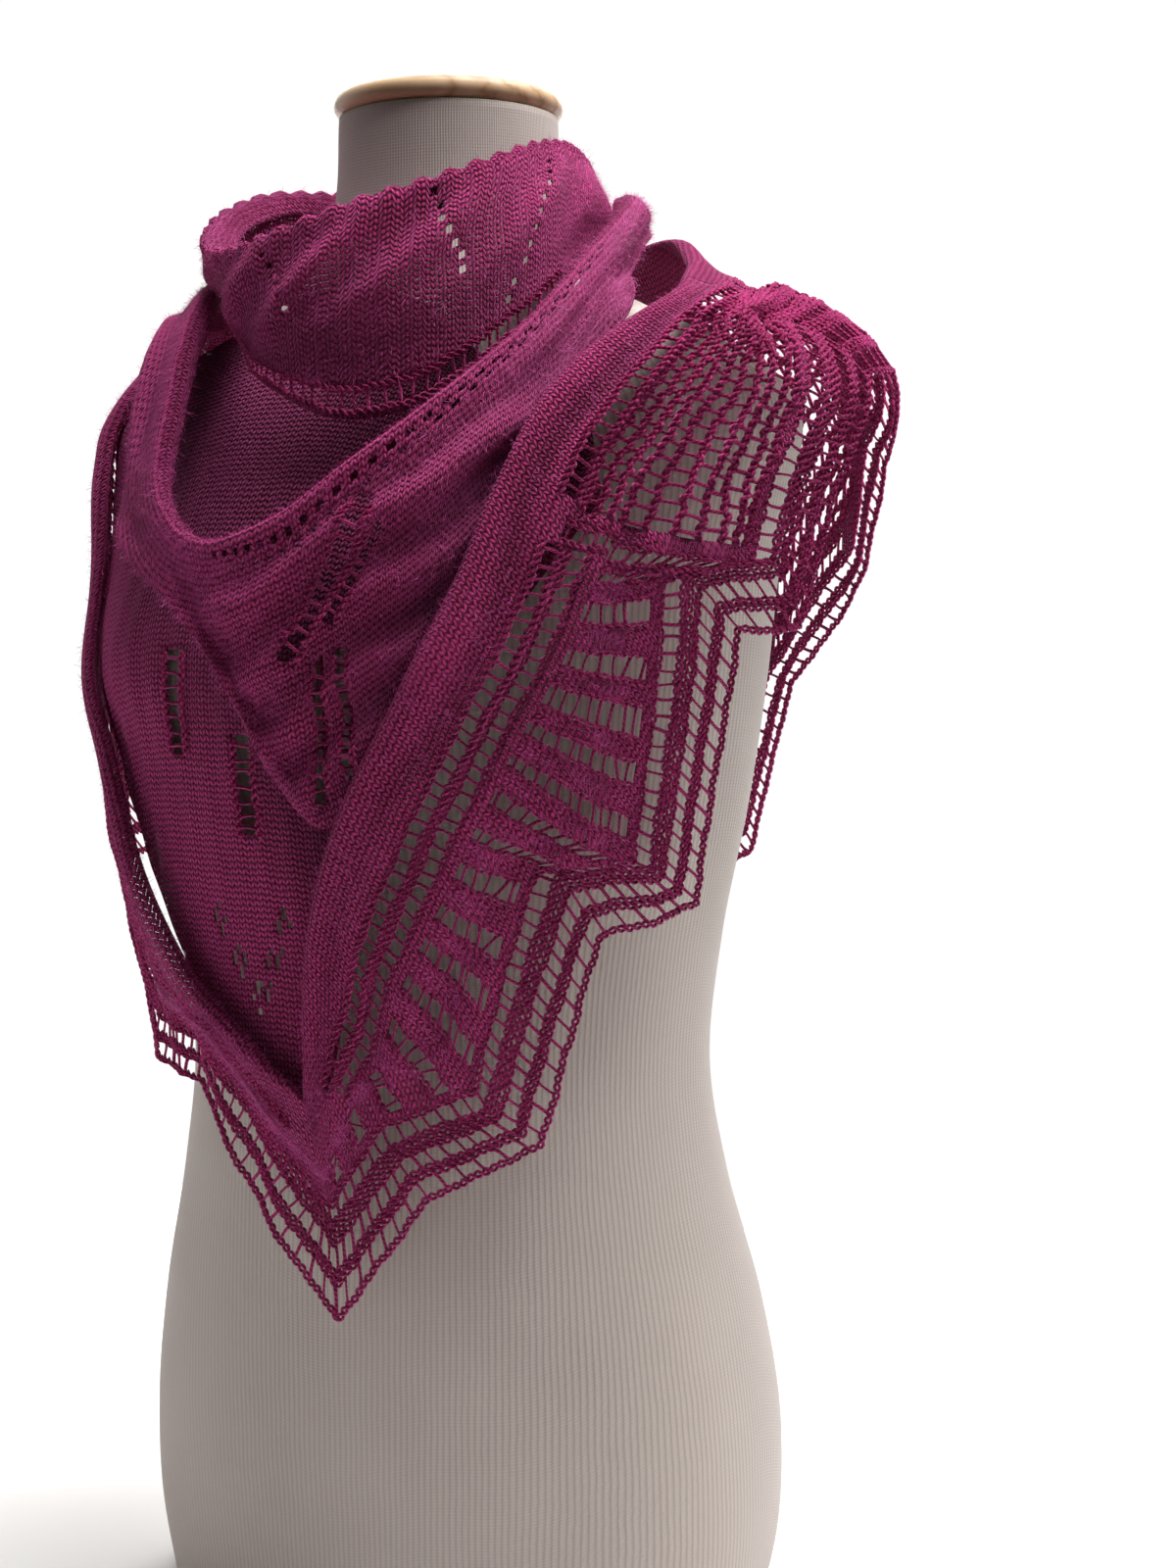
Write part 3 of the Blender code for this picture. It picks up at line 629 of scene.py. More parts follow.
def knitted_wool(name):
    """Stocking stitch: the strand's height is sin(pi frac(v + 0.55 a)) times
    (0.25 + 0.75 sin(pi a)), and there are pinholes where it is low."""
    n = Nodes(name)
    uv = n.split(n.place("UV"))
    wander = n.noise(n.place(), 60.0, 3.0)
    x = n.plus(n.math("DIVIDE", uv[0], STITCH_WIDE), wander, 0.55)
    y = n.plus(n.math("DIVIDE", uv[1], STITCH_TALL), wander, 0.9)
    twice = n.math("MULTIPLY", n.math("FRACT", x), 2.0)
    a = n.math("ABSOLUTE", n.math("SUBTRACT", twice, 1.0))
    strand = n.hump(n.math("FRACT", n.plus(y, a, 0.55)))
    leg = n.math("ADD", n.math("MULTIPLY", n.hump(a), 0.75), 0.25)
    height = n.math("MULTIPLY", strand, leg)
    fibre = n.noise(n.place(), 900.0, 4.0, 0.7)
    relief = n.plus(height, fibre, 0.5)
    cloud = n.noise(n.place(), 22.0, 3.0)
    tone = n.plus(n.math("MULTIPLY", relief, 0.62), cloud, 0.25)
    # painted shade: the stored attribute darkens the colour in fold troughs, on lips and under other
    # layers, standing in for shadow
    deep = n.add("ShaderNodeAttribute", attribute_name="painted_shade").outputs["Fac"]
    color = n.ramp(tone, ((0.22, WINE), (0.50, RASPBERRY), (0.84, PINK)))
    n.finish(n.paint_shade(color, deep, PAINTED_SHADE_MOST), WOOL_ROUGHNESS, WOOL_SPECULAR)
    n.sheen(0.60, SHEEN_ROUGHNESS, SHEEN_PINK)
    n.bump(relief, 0.9, 0.0012)
    loose = n.plus(n.plus(height, fibre, 0.35), cloud, 0.12)
    low, high = PINHOLE_LEVEL - PINHOLE_SOFT, PINHOLE_LEVEL + PINHOLE_SOFT
    n.link(n.range(loose, low, high, 0.0, 1.0), n.shader.inputs["Alpha"])
    return n.material


PLY_PITCH = 0.0022


def spun_wool(name):
    """Yarn: two plies wind round it, a slanted wave of its UV, under short fibres."""
    n = Nodes(name)
    uv = n.split(n.place("UV"))
    twist = n.plus(n.math("DIVIDE", uv[0], PLY_PITCH), uv[1], 2.0)
    ply = n.math("ABSOLUTE", n.hump(twist))
    fibre = n.noise(n.place(), 1100.0, 4.0, 0.7)
    relief = n.plus(n.math("MULTIPLY", ply, 0.6), fibre, 0.7)
    cloud = n.noise(n.place(), 30.0, 3.0)
    tone = n.plus(n.math("MULTIPLY", relief, 0.60), cloud, 0.30)
    color = n.ramp(tone, ((0.18, WINE), (0.50, RASPBERRY), (0.86, PINK)))
    n.finish(color, WOOL_ROUGHNESS, WOOL_SPECULAR)
    n.sheen(0.75, SHEEN_ROUGHNESS, SHEEN_PINK)
    n.bump(relief, 0.8, 0.0004)
    return n.material


def brushed_fibre(name):
    """Single fibres: one clear pink, a little lighter or darker from fibre to fibre by the UV's
    first number."""
    n = Nodes(name)
    uv = n.split(n.place("UV"))
    n.finish(n.ramp(uv[0], ((0.0, (0.40, 0.030, 0.160)), (1.0, (0.85, 0.130, 0.50)))), 0.6, 0.3)
    return n.material


FIBRE = brushed_fibre("wool_fibre")
WOOL_LOOSE = knitted_wool("wool_loose_knit")
YARN = spun_wool("wool_yarn")
print("wool:", FIBRE.name, WOOL_LOOSE.name, YARN.name)

# %% [markdown]
# The form's jersey has fine upright ribs, one to each 2.6 mm, and a faint marl.
# The cap is turned from a pale close grained wood, so its rings are long ovals cut across by
# pores.

# %% Jersey and wood
RIB_PITCH = 0.0026
RIB_ROW = 0.0014
JERSEY_TONES = (
    (0.20, (0.390, 0.335, 0.305)),
    (0.55, (0.540, 0.465, 0.430)),
    (0.90, (0.640, 0.565, 0.525)),
)
WOOD_TONES = (
    (0.15, (0.42, 0.235, 0.115)),
    (0.60, (0.62, 0.40, 0.225)),
    (0.95, (0.72, 0.50, 0.31)),
)


def ribbed_jersey(name):
    """Fine ribs: a rounded wave across the UV's length, crossed by short stitches, under a marl
    of noise."""
    n = Nodes(name)
    uv = n.split(n.place("UV"))
    wander = n.math("MULTIPLY", n.noise(n.place(), 40.0, 2.0), 0.6)
    across = n.math("ADD", n.math("DIVIDE", uv[0], RIB_PITCH), wander)
    rib = n.math("ABSOLUTE", n.hump(across))
    row = n.math("ABSOLUTE", n.hump(n.math("DIVIDE", uv[1], RIB_ROW)))
    fibre = n.noise(n.place(), 700.0, 3.0, 0.6)
    relief = n.plus(n.plus(n.math("MULTIPLY", rib, 0.8), row, 0.25), fibre, 0.35)
    cloud = n.noise(n.place(), 9.0, 3.0)
    tone = n.plus(n.math("MULTIPLY", relief, 0.45), cloud, 0.45)
    n.finish(n.ramp(tone, JERSEY_TONES), 0.88, 0.2)
    n.sheen(0.25, 0.5)
    n.bump(relief, 0.7, 0.0004)
    return n.material


def turned_wood(name):
    """Rings: a wave of the distance across the grain, stirred by noise that is stretched along
    it."""
    n = Nodes(name)
    spread = n.add("ShaderNodeMapping")
    spread.inputs["Scale"].default_value = (1.0, 7.0, 7.0)
    n.link(n.place(), spread.inputs["Vector"])
    stir = n.noise(spread.outputs[0], 9.0, 3.0)
    place = n.split(n.place())
    ring = n.plus(n.plus(n.math("MULTIPLY", place[1], 260.0), stir, 9.0), place[2], 200.0)
    grain = n.math("ABSOLUTE", n.math("SINE", ring))
    pore = n.noise(spread.outputs[0], 300.0, 2.0, 0.6)
    tone = n.plus(n.math("MULTIPLY", grain, 0.55), pore, 0.45)
    n.link(n.ramp(tone, WOOD_TONES), n.shader.inputs["Base Color"])
    n.link(n.range(pore, 0.2, 0.8, 0.42, 0.60), n.shader.inputs["Roughness"])
    n.shader.inputs["Coat Weight"].default_value = 0.12
    n.shader.inputs["Coat Roughness"].default_value = 0.35
    n.bump(tone, 0.25, 0.0004)
    return n.material


JERSEY = ribbed_jersey("form_jersey")
WOOD = turned_wood("cap_wood")
print("form finishes:", JERSEY.name, WOOD.name)

# %% [markdown]
# ## The dress form
# The form is a padded torso under a tight knitted cover.
# The cover is one closed skin worked out from the form's tables, fine enough to carry its
# ribs, and a disc of the same jersey closes it where it stands.

# %% Jersey cover
FORM_TURNS = 176
FORM_TOP = 0.6857
COVER = 0.0002


def form_cover(name, material):
    """Rings of the form's reach at every height, drawn to a point under the base and above the
    neck."""
    body = np.linspace(0.004, 0.54, 96)
    shoulders = np.linspace(0.5445, FORM_TOP, 40)
    z = np.concatenate([[0.0, 0.0, 0.0006], body, shoulders, [FORM_TOP, FORM_TOP]])
    pull = np.ones(len(z))
    pull[:2] = 0.0, 0.985
    pull[-2:] = 0.5, 0.0
    turn = np.linspace(0, 2 * np.pi, FORM_TURNS, endpoint=False)
    r = form_radius(turn[None, :], z[:, None]) * pull[:, None] + COVER * (pull[:, None] == 1)
    points = polar(turn[None, :], z[:, None], r)[::-1]
    return sheet_mesh(name, points, material, wrap=True)


def close_poles(made):
    """Merge the points that share a place at each pole, so the skin has no hole there."""
    bm = bmesh.new()
    bm.from_mesh(made.data)
    bmesh.ops.remove_doubles(bm, verts=bm.verts, dist=1e-7)
    bm.to_mesh(made.data)
    bm.free()


cover = form_cover("jersey_cover", JERSEY)
close_poles(cover)
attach(cover, "root")
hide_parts("dress_form")
print("cover faces:", len(cover.data.polygons))

# %% Turned cap on the neck
# height, reach
CAP = (
    (0.6860, 0.0000), (0.6860, 0.0470), (0.6862, 0.0488), (0.6868, 0.0507),
    (0.6880, 0.0524), (0.6896, 0.0533), (0.6912, 0.0535), (0.6928, 0.0532),
    (0.6943, 0.0525), (0.6955, 0.0510), (0.6962, 0.0490), (0.6966, 0.0450),
    (0.6970, 0.0360), (0.6974, 0.0230), (0.6975, 0.0100), (0.6975, 0.0000),
)
CAP_TURNS = 96


def turned(name, profile, turns, material):
    """A lathe: each profile pair of height and reach is carried round a full turn."""
    rows = np.array(profile)[::-1]
    turn = np.linspace(0, 2 * np.pi, turns, endpoint=False)
    points = polar(turn[None, :], rows[:, :1], rows[:, 1:])
    made = sheet_mesh(name, points, material, wrap=True)
    close_poles(made)
    return made


cap = turned("turned_cap", CAP, CAP_TURNS, WOOD)
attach(cap, "root")
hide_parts("neck_cap")
print("cap faces:", len(cap.data.polygons))

# %% [markdown]
# ## Shaping cloth
# Each stretch starts as a few control rows: the hidden lip, the crest, then the face down to
# the foot.
# Cubic curves through those rows round the roll, and small folds are added along the
# cloth's own normal.

# %% Cubic rows and normals


def rows_at(points, run, d):
    """Points at distances d down each column: a cubic over each span between two control rows,
    with the slopes at a row taken from its neighbours."""
    count = len(points)
    step = np.diff(run, axis=0)
    rise = np.diff(points, axis=0) / step[..., None]
    slope = np.empty_like(points)
    weight = (step[1:] / (step[1:] + step[:-1]))[..., None]
    slope[1:-1] = rise[:-1] * weight + rise[1:] * (1 - weight)
    slope[0] = rise[0]
    slope[-1] = rise[-1]
    cols = np.arange(points.shape[1])[None, :]
    k = np.clip((run[None, :, :] <= d[:, None, :]).sum(axis=1) - 1, 0, count - 2)
    h = step[k, cols]
    t = np.clip((d - run[k, cols]) / h, 0, 1)[..., None]
    ends = points[k, cols], points[k + 1, cols]
    return hermite(t, h[..., None], *ends, slope[k, cols], slope[k + 1, cols])


def grid_normals(points, wrap=False):
    """Unit normals of a grid: the cross product of its slopes down the rows and along the
    columns."""
    if wrap:
        along = (np.roll(points, -1, axis=1) - np.roll(points, 1, axis=1)) / 2
    else:
        along = np.gradient(points, axis=1)
    down = np.gradient(points, axis=0)
    normal = unit(np.cross(along, down))
    side = np.sign(np.sum(normal[..., :2] * points[..., :2]))
    return normal * side


def ridge(x, sharp=1.6):
    """A row of soft folds with one to each unit of x: narrow crests at 0.6 and wide troughs at
    -0.4."""
    return (0.5 + 0.5 * np.cos(2 * np.pi * x)) ** sharp - 0.4


def bell(x, middle, half):
    """A bump that is 1 at its middle and fades with the square of the distance."""
    return np.exp(-(((x - middle) / half) ** 2))


print("crest of the folds:", round(float(ridge(0.0)), 2))

# %% [markdown]
# ## Yarn work
# Ladders are what is left where stitches were dropped: bare strands between two chained
# rails. The rungs are tubes from one rail to the other, and a rail is two strands that
# cross over each other at every stitch.

# %% Rungs and chained rails
YARN_RADIUS = 0.00086
NET_RADIUS = 0.00110
CHAIN_PITCH = 0.0036


def chance(count, seed):
    """Fixed pseudo random numbers between -1 and 1."""
    return np.random.default_rng(seed).uniform(-1, 1, count)


def rungs(start, end, normal, seed, steps=4, radius=YARN_RADIUS):
    """Strands between two rows of points: straight lines that lean and sag by a small part of a
    sine."""
    t = np.linspace(0, 1, steps)[None, :, None]
    path = start[:, None] * (1 - t) + end[:, None] * t
    bow = np.sin(np.pi * t[..., 0])
    along = unit(np.gradient(start, axis=0))
    path = path + (bow * chance(len(start), seed)[:, None] * 0.0007)[..., None] * along[:, None]
    path = path + (bow * chance(len(start), seed + 1)[:, None] * 0.0004)[..., None] * normal[:, None]
    size = radius * (1 + 0.25 * chance(len(start), seed + 2))[:, None] * (1.08 - 0.22 * bow)
    return tube_arrays(path, np.repeat(normal[:, None], steps, axis=1), size)


def resample(line, spacing):
    """Fractional indices of points at an equal spacing along a polyline."""
    run = run_along(line)
    count = max(3, int(round(run[-1] / spacing)) + 1)
    return np.interp(np.linspace(0, run[-1], count), run, np.arange(len(line)))


def pick(line, k):
    """Points of a polyline at fractional indices."""
    i = np.clip(k.astype(int), 0, len(line) - 2)
    t = (k - i)[:, None]
    return line[i] * (1 - t) + line[i + 1] * t


def chain(line, normal, half=0.0012, radius=YARN_RADIUS, per_stitch=5):
    """A chained rail: two strands at plus and minus half sin(pi s), which pass over and under
    each other by cos(pi s), with s in stitches."""
    k = resample(line, CHAIN_PITCH / per_stitch)
    path = pick(line, k)
    up = unit(pick(normal, k))
    across = np.cross(unit(np.gradient(path, axis=0)), up)
    s = np.arange(len(path)) / per_stitch
    stir = 0.00045 * np.sin(s * 0.71 + k[0]) + 0.0003 * np.sin(s * 1.93 + 2.0)
    path = path + across * stir[:, None]
    parts = []
    for sign in (1, -1):
        side = sign * half * np.sin(np.pi * s)
        over = sign * radius * 0.75 * np.cos(np.pi * s)
        strand = path + across * side[:, None] + up * over[:, None]
        parts.append(tube_arrays(strand[None], up[None], np.full((1, len(path)), radius)))
    return join_arrays(parts)


def ladder(first, last, normal, pitch, seed):
    """A ladder between two border lines of equal count: rungs at an equal pitch, and a chain
    along each border."""
    k = resample((first + last) / 2, pitch)
    k = (k[:-1] + k[1:]) / 2
    ends = []
    for n in (5, 6):
        jitter = chance(len(k), seed + n) * 0.17 * (k[1] - k[0] if len(k) > 1 else 0)
        ends.append(np.clip(k + jitter, 0, len(first) - 1.001))
    parts = [rungs(pick(first, ends[0]), pick(last, ends[1]), pick(normal, k), seed)]
    parts += [chain(line, normal) for line in (first, last)]
    return join_arrays(parts)


def cross_ladder(points, normals, rows, j0, j1, pitch, seed):
    """A ladder between two columns of a grid, down some of its rows: its rungs run along the
    rows."""
    first = points[rows, j0]
    last = points[rows, j1]
    return ladder(first, last, normals[rows, (j0 + j1) // 2], pitch, seed)


def slanted_ladder(points, normals, gaps, start, end, half, pitch, seed):
    """A ladder along a straight line of the grid, whatever its slant: its rails lie half its
    width to each side of that line."""
    t = np.linspace(0, 1, 41)
    i = start[0] + (end[0] - start[0]) * t
    j = start[1] + (end[1] - start[1]) * t
    rows, cols = [np.arange(n) for n in points.shape[:2]]
    path = np.stack([look_up(points[..., c], rows, cols, i, j) for c in range(3)], axis=1)
    up = normals[i.astype(int), j.astype(int)]
    along = np.gradient(path, axis=0)
    side = np.cross(up, along)
    side *= half / np.linalg.norm(side, axis=1, keepdims=True)
    middle = (points[1:, 1:] + points[:-1, :-1]) / 2
    away = np.min(np.linalg.norm(middle[:, :, None] - path[None, None], axis=3), axis=2)
    gaps |= away < half - 0.0006
    return ladder(path - side, path + side, up, pitch, seed)


def netting(points, normals, rows, cols, brick, seed, sag=0.0009):
    """Brick netting: a chain along each given row, which dips between its bars, and bars that
    step half a brick each row."""
    parts = []
    lines = []
    for n, i in enumerate(rows):
        line = points[i, cols]
        run = run_along(line)
        down = unit(points[min(i + 1, len(points) - 1), cols] - points[max(i - 1, 0), cols])
        dip = sag * np.cos(2 * np.pi * run / brick + np.pi * n)
        dip = dip + 0.4 * sag * np.sin(2 * np.pi * run / 0.043 + n)
        line = line + down * dip[:, None]
        lines.append((line, run))
        parts.append(chain(line, normals[i, cols], 0.0010, NET_RADIUS))
    for n in range(len(lines) - 1):
        line, run = lines[n]
        count = int(run[-1] / brick)
        s = (np.arange(count) + (0.25 if n % 2 else 0.75) + 0.08 * chance(count, seed + n)) * brick
        k = np.interp(s, run, np.arange(len(run)))
        below = pick(lines[n + 1][0], k)
        up = pick(normals[rows[n], cols], k)
        parts.append(rungs(pick(line, k), below, up, seed + 50 + n, radius=NET_RADIUS))
    return join_arrays(parts)


def eyelets(gaps, row, first, last, every, wide):
    """A line of small holes: every so many columns of a row of cells, some cells are left out."""
    for j in range(first, last, every):
        gaps[row, j : j + wide] = True


def yarn_piece(name, parts, replaces=()):
    """One object of yarn from many sets of tubes, riding on the part."""
    points, faces, uv = join_arrays(parts)
    made = put_mesh(name, points, faces, uv, YARN)
    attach(made, "root")
    if replaces:
        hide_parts(*replaces)
    print(name, "triangles:", len(faces))
    return made


HAIR_WIDTH = 0.00012
HAIR_LONGEST = 0.0075


def halo(name, points, normals, count, seed, gaps):
    """Brushed fibres: thin ribbons that leave the cloth near its normal and bend over to one
    side at a knee halfway."""
    rng = np.random.default_rng(seed)
    i = rng.integers(0, points.shape[0] - 1, count)
    j = rng.integers(0, points.shape[1] - 1, count)
    kept = ~gaps[i, j]
    i, j = i[kept], j[kept]
    a, b = rng.random((2, len(i), 1))
    base = points[i, j] * (1 - a) + points[i + 1, j] * a
    base = base + (points[i, j + 1] - points[i, j]) * b
    up = normals[i, j]
    side = np.cross(up, rng.normal(size=(len(i), 3)))
    side /= np.linalg.norm(side, axis=1, keepdims=True) + 1e-9
    size = HAIR_LONGEST * (0.25 + 0.75 * rng.random((len(i), 1)) ** 2)
    rise = 0.25 + 0.55 * rng.random((len(i), 1))
    knee = base + size * 0.5 * (up * rise + side * 0.7)
    tip = knee + size * 0.5 * (up * rise * rng.uniform(-0.5, 0.9, (len(i), 1)) + side * 0.9)
    wide = np.cross(up, side) * HAIR_WIDTH / 2
    ribbon = np.stack([base - wide, base + wide, knee - wide, knee + wide, tip], axis=1)
    first = 5 * np.arange(len(i))[:, None]
    faces = (first[..., None] + np.array([[0, 1, 2], [1, 3, 2], [2, 3, 4]])[None]).reshape(-1, 3)
    uv = np.zeros((len(faces), 3, 2))
    uv[:, :, 0] = np.repeat(rng.random(len(i)), 3)[:, None]
    made = put_mesh(name, ribbon.reshape(-1, 3), faces, uv, FIBRE)
    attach(made, "root")
    print(name, "fibres:", len(i))
    return made


CLOTH_WALL = 0.0009


def cloth_piece(name, points, node, gaps, painted_shade, wrap=False, origin=None):
    """One knitted stretch that stands for its CAD node."""
    middle = points.shape[1] // 2 if origin is None else origin
    made = sheet_mesh(name, points, WOOL_LOOSE, gaps, CLOTH_WALL, wrap, middle, painted_shade)
    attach(made, "root")
    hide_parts(node)
    print(name, "cells:", len(made.data.polygons))
    return made


print("stitches in a hand's width of chain:", round(0.1 / CHAIN_PITCH))

# %% [markdown]
# ## The cowl
# The neck edge of the shawl stands up as a soft ring, close round the nape and loose over
# the chest.
# Nineteen angles fix its rim and foot, and the face between them bulges a little.
# Its columns of stitches lean, so the folds in it lean too.

# %% Cowl
# angle, rim height, rim reach, foot height, foot reach
COWL = (
    (-165, 0.661, 0.065, 0.613, 0.0770),
    (-140, 0.662, 0.067, 0.614, 0.0765),
    (-120, 0.662, 0.072, 0.615, 0.0765),
    (-100, 0.662, 0.082, 0.6115, 0.0768),
    (-80, 0.658, 0.100, 0.6064, 0.0802),
    (-65, 0.645, 0.110, 0.608, 0.085),
    (-50, 0.630, 0.113, 0.602, 0.088),
    (-33, 0.618, 0.116, 0.584, 0.097),
    (-15, 0.614, 0.119, 0.562, 0.111),
    (0, 0.618, 0.122, 0.548, 0.123),
    (15, 0.627, 0.120, 0.535, 0.129),
    (30, 0.636, 0.115, 0.540, 0.127),
    (45, 0.648, 0.105, 0.562, 0.1170),
    (60, 0.659, 0.090, 0.586, 0.1065),
    (75, 0.664, 0.078, 0.607, 0.0860),
    (95, 0.664, 0.069, 0.618, 0.0765),
    (115, 0.660, 0.066, 0.620, 0.0755),
    (140, 0.656, 0.0645, 0.618, 0.0755),
    (170, 0.659, 0.0645, 0.614, 0.0765),
)
COWL_COLUMNS = 250
COWL_ROWS = 30
COWL_SWELL = 0.0052
COWL_SCALLOP = 0.0014
# one fold of the ring to so many degrees round, or to so much length down
LEAN_ANGLE = 26.0
LEAN_DOWN = 0.040
SCALLOP_ANGLE = 6.0
# first and last angle of the ladder above the hem
HEM_ANGLES = (-42, 66)


def closed_curve(table, k, angle):
    """A table's column as a closed run: three rows from each end are repeated a full turn away."""
    angles = column(table, 0)
    values = column(table, k)
    wrap = np.concatenate([angles[-3:] - 360, angles, angles[:3] + 360])
    return smooth(wrap, np.concatenate([values[-3:], values, values[:3]]), angle)


def cowl_rows(angle):
    """Control rows of the ring: two of the inner lip, the rim, then the face with a bulge of
    sin(1.2 pi t)."""
    rim_z, rim_r, foot_z, foot_r = [closed_curve(COWL, k, angle) for k in range(1, 5)]
    phi = np.radians(angle)
    length = np.hypot(foot_r - rim_r, foot_z - rim_z)
    down_r = (foot_r - rim_r) / length
    down_z = (foot_z - rim_z) / length
    room = rim_r - form_radius(phi, rim_z) - 0.003
    loose = np.clip(0.6 * room, 0.0035, 0.0080)
    rows = []
    for along, share in ((0.014, 1.0), (0.0035, 0.75)):
        z = rim_z + down_z * along - down_r * loose * share
        rows.append(polar(phi, z, rim_r + down_r * along + down_z * loose * share))
    rows.append(polar(phi, rim_z, rim_r))
    for t in (0.14, 0.32, 0.54, 0.77, 1.0):
        bulge = 0.006 * np.sin(np.pi * min(1.0, t * 1.2))
        rows.append(polar(phi, rim_z + (foot_z - rim_z) * t, rim_r + (foot_r - rim_r) * t + bulge))
    return np.array(rows)


def run_of(rows, rim):
    """Running length down each column of the control rows, counted from the rim's row."""
    step = np.linalg.norm(np.diff(rows, axis=0), axis=2)
    run = np.vstack([np.zeros((1, rows.shape[1])), np.cumsum(step, axis=0)])
    return run - run[rim]


angle = np.linspace(-165, 195, COWL_COLUMNS, endpoint=False)
control = cowl_rows(angle)
run = run_of(control, 2)
share = np.linspace(0, 1, COWL_ROWS)[:, None]
distance = np.vstack([np.linspace(1, 0, 8, endpoint=False)[:, None] * run[0], share * run[-1]])
cowl_points = rows_at(control, run, distance)
cowl_normals = grid_normals(cowl_points, wrap=True)
lean = angle[None, :] / LEAN_ANGLE + distance / LEAN_DOWN
front = bell(angle, 5.0, 75.0)[None, :]
down = np.clip(distance / 0.05, 0, 1)
swell = COWL_SWELL * front * ridge(lean) * np.sin(np.pi * down) ** 0.7
scallop = COWL_SCALLOP * np.cos(2 * np.pi * angle / SCALLOP_ANGLE)[None, :]
scallop = scallop * bell(distance, 0.0, 0.006)
cowl_points = cowl_points + cowl_normals * (swell + scallop)[..., None]
cowl_normals = grid_normals(cowl_points, wrap=True)
cowl_gaps = np.zeros((cowl_points.shape[0] - 1, COWL_COLUMNS), bool)


def cowl_column(degrees):
    """Column of the ring that stands at an angle."""
    return int(np.argmin(np.abs(angle - degrees)))


hem_rows = (cowl_points.shape[0] - 5, cowl_points.shape[0] - 2)
hem = slice(cowl_column(HEM_ANGLES[0]), cowl_column(HEM_ANGLES[1]) + 1)
cowl_gaps[hem_rows[0] : hem_rows[1], hem.start : hem.stop - 1] = True
upper, lower = [cowl_points[row, hem] for row in hem_rows]
cowl_yarn = [ladder(upper, lower, cowl_normals[hem_rows[0], hem], 0.0064, 31)]
# row, column, length in rows, drift along the ring in columns
COWL_EYELETS = ((10, 137, 14, 5), (12, 159, 20, -12), (12, 112, 12, 6))
for i0, j0, tall, drift in COWL_EYELETS:
    for i in range(i0, i0 + tall, 2):
        j = j0 + int(round(drift * (i - i0) / tall))
        cowl_gaps[i, j] = True
# painted shade: the lower part of the ring at the front, its inner lip and the troughs of its folds are
# darkened in colour, standing in for shadow
painted_shade = 0.60 * np.clip((distance - 0.026) / 0.030, 0, 1) * front + 0.45 * (distance < 0)
painted_shade = np.clip(painted_shade + 0.35 * np.clip(-swell / 0.0020, 0, 1), 0, 1)
cowl = cloth_piece("cowl_cloth", cowl_points, "neck_cowl", cowl_gaps, painted_shade, wrap=True)

# %% [markdown]
# ## The hanging fold and the layer under it
# Below the cowl the shawl swings across the chest in a deep U.
# Its crest is rolled, so two control rows turn back behind it.
# The layer under it lies close to the form and shows in the neck opening, down to the point
# where both wings meet.

# %% Hanging fold
# crest angle, height, reach, then foot angle, height, reach
SWAG = (
    (135, 0.652, 0.085, 135, 0.636, 0.092),
    (115, 0.648, 0.088, 115, 0.630, 0.095),
    (95, 0.637, 0.094, 95, 0.618, 0.101),
    (74, 0.616, 0.106, 76, 0.594, 0.116),
    (60, 0.594, 0.120, 63, 0.566, 0.130),
    (48, 0.570, 0.135, 52, 0.530, 0.144),
    (38, 0.550, 0.146, 43, 0.490, 0.154),
    (29, 0.531, 0.154, 35, 0.450, 0.160),
    (20, 0.513, 0.158, 27, 0.405, 0.158),
    (12, 0.496, 0.161, 17, 0.366, 0.150),
    (5, 0.487, 0.163, 8, 0.386, 0.153),
    (-1, 0.483, 0.164, 1, 0.420, 0.157),
    (-6, 0.486, 0.164, -7, 0.452, 0.160),
    (-11.5, 0.498, 0.162, -20, 0.474, 0.159),
    (-16.8, 0.516, 0.156, -30, 0.492, 0.153),
    (-20.4, 0.546, 0.145, -40, 0.520, 0.144),
    (-26.4, 0.578, 0.131, -50, 0.548, 0.138),
    (-36, 0.598, 0.117, -60, 0.570, 0.133),
    (-52, 0.608, 0.110, -70, 0.586, 0.126),
    (-72, 0.615, 0.104, -82, 0.598, 0.116),
    (-92, 0.622, 0.098, -96, 0.609, 0.104),
)
SWAG_CLEAR = 0.0039
SWAG_COLUMNS = 270
SWAG_ROWS = 34


def swag_rows(u):
    """Control rows of the fold: two behind the crest, then the face, kept clear of the drape
    surface."""
    k = np.arange(len(SWAG))
    values = [smooth(k, column(SWAG, c), u) for c in range(6)]
    crest_a, crest_z, crest_r, foot_a, foot_z, foot_r = values
    crest_a = np.radians(crest_a)
    foot_a = np.radians(foot_a)
    rows = [
        polar(crest_a, crest_z - 0.009, crest_r - 0.0070),
        polar(crest_a, crest_z + 0.001, crest_r - 0.0040),
    ]
    for t in (0.0, 0.12, 0.30, 0.52, 0.76, 1.0):
        bulge = 0.0035 * np.sin(np.pi * min(1.0, t * 1.3))
        a = crest_a + (foot_a - crest_a) * t
        z = crest_z + (foot_z - crest_z) * t
        r = crest_r + (foot_r - crest_r) * t + bulge
        rows.append(polar(a, z, np.maximum(r, drape_radius(a, z) + SWAG_CLEAR)))
    return np.array(rows)


# length of cloth from one small fold to the next, and their height
FOLD_PITCH = 0.029
FOLD_HIGH = 0.0072
ROLL_HIGH = 0.0085

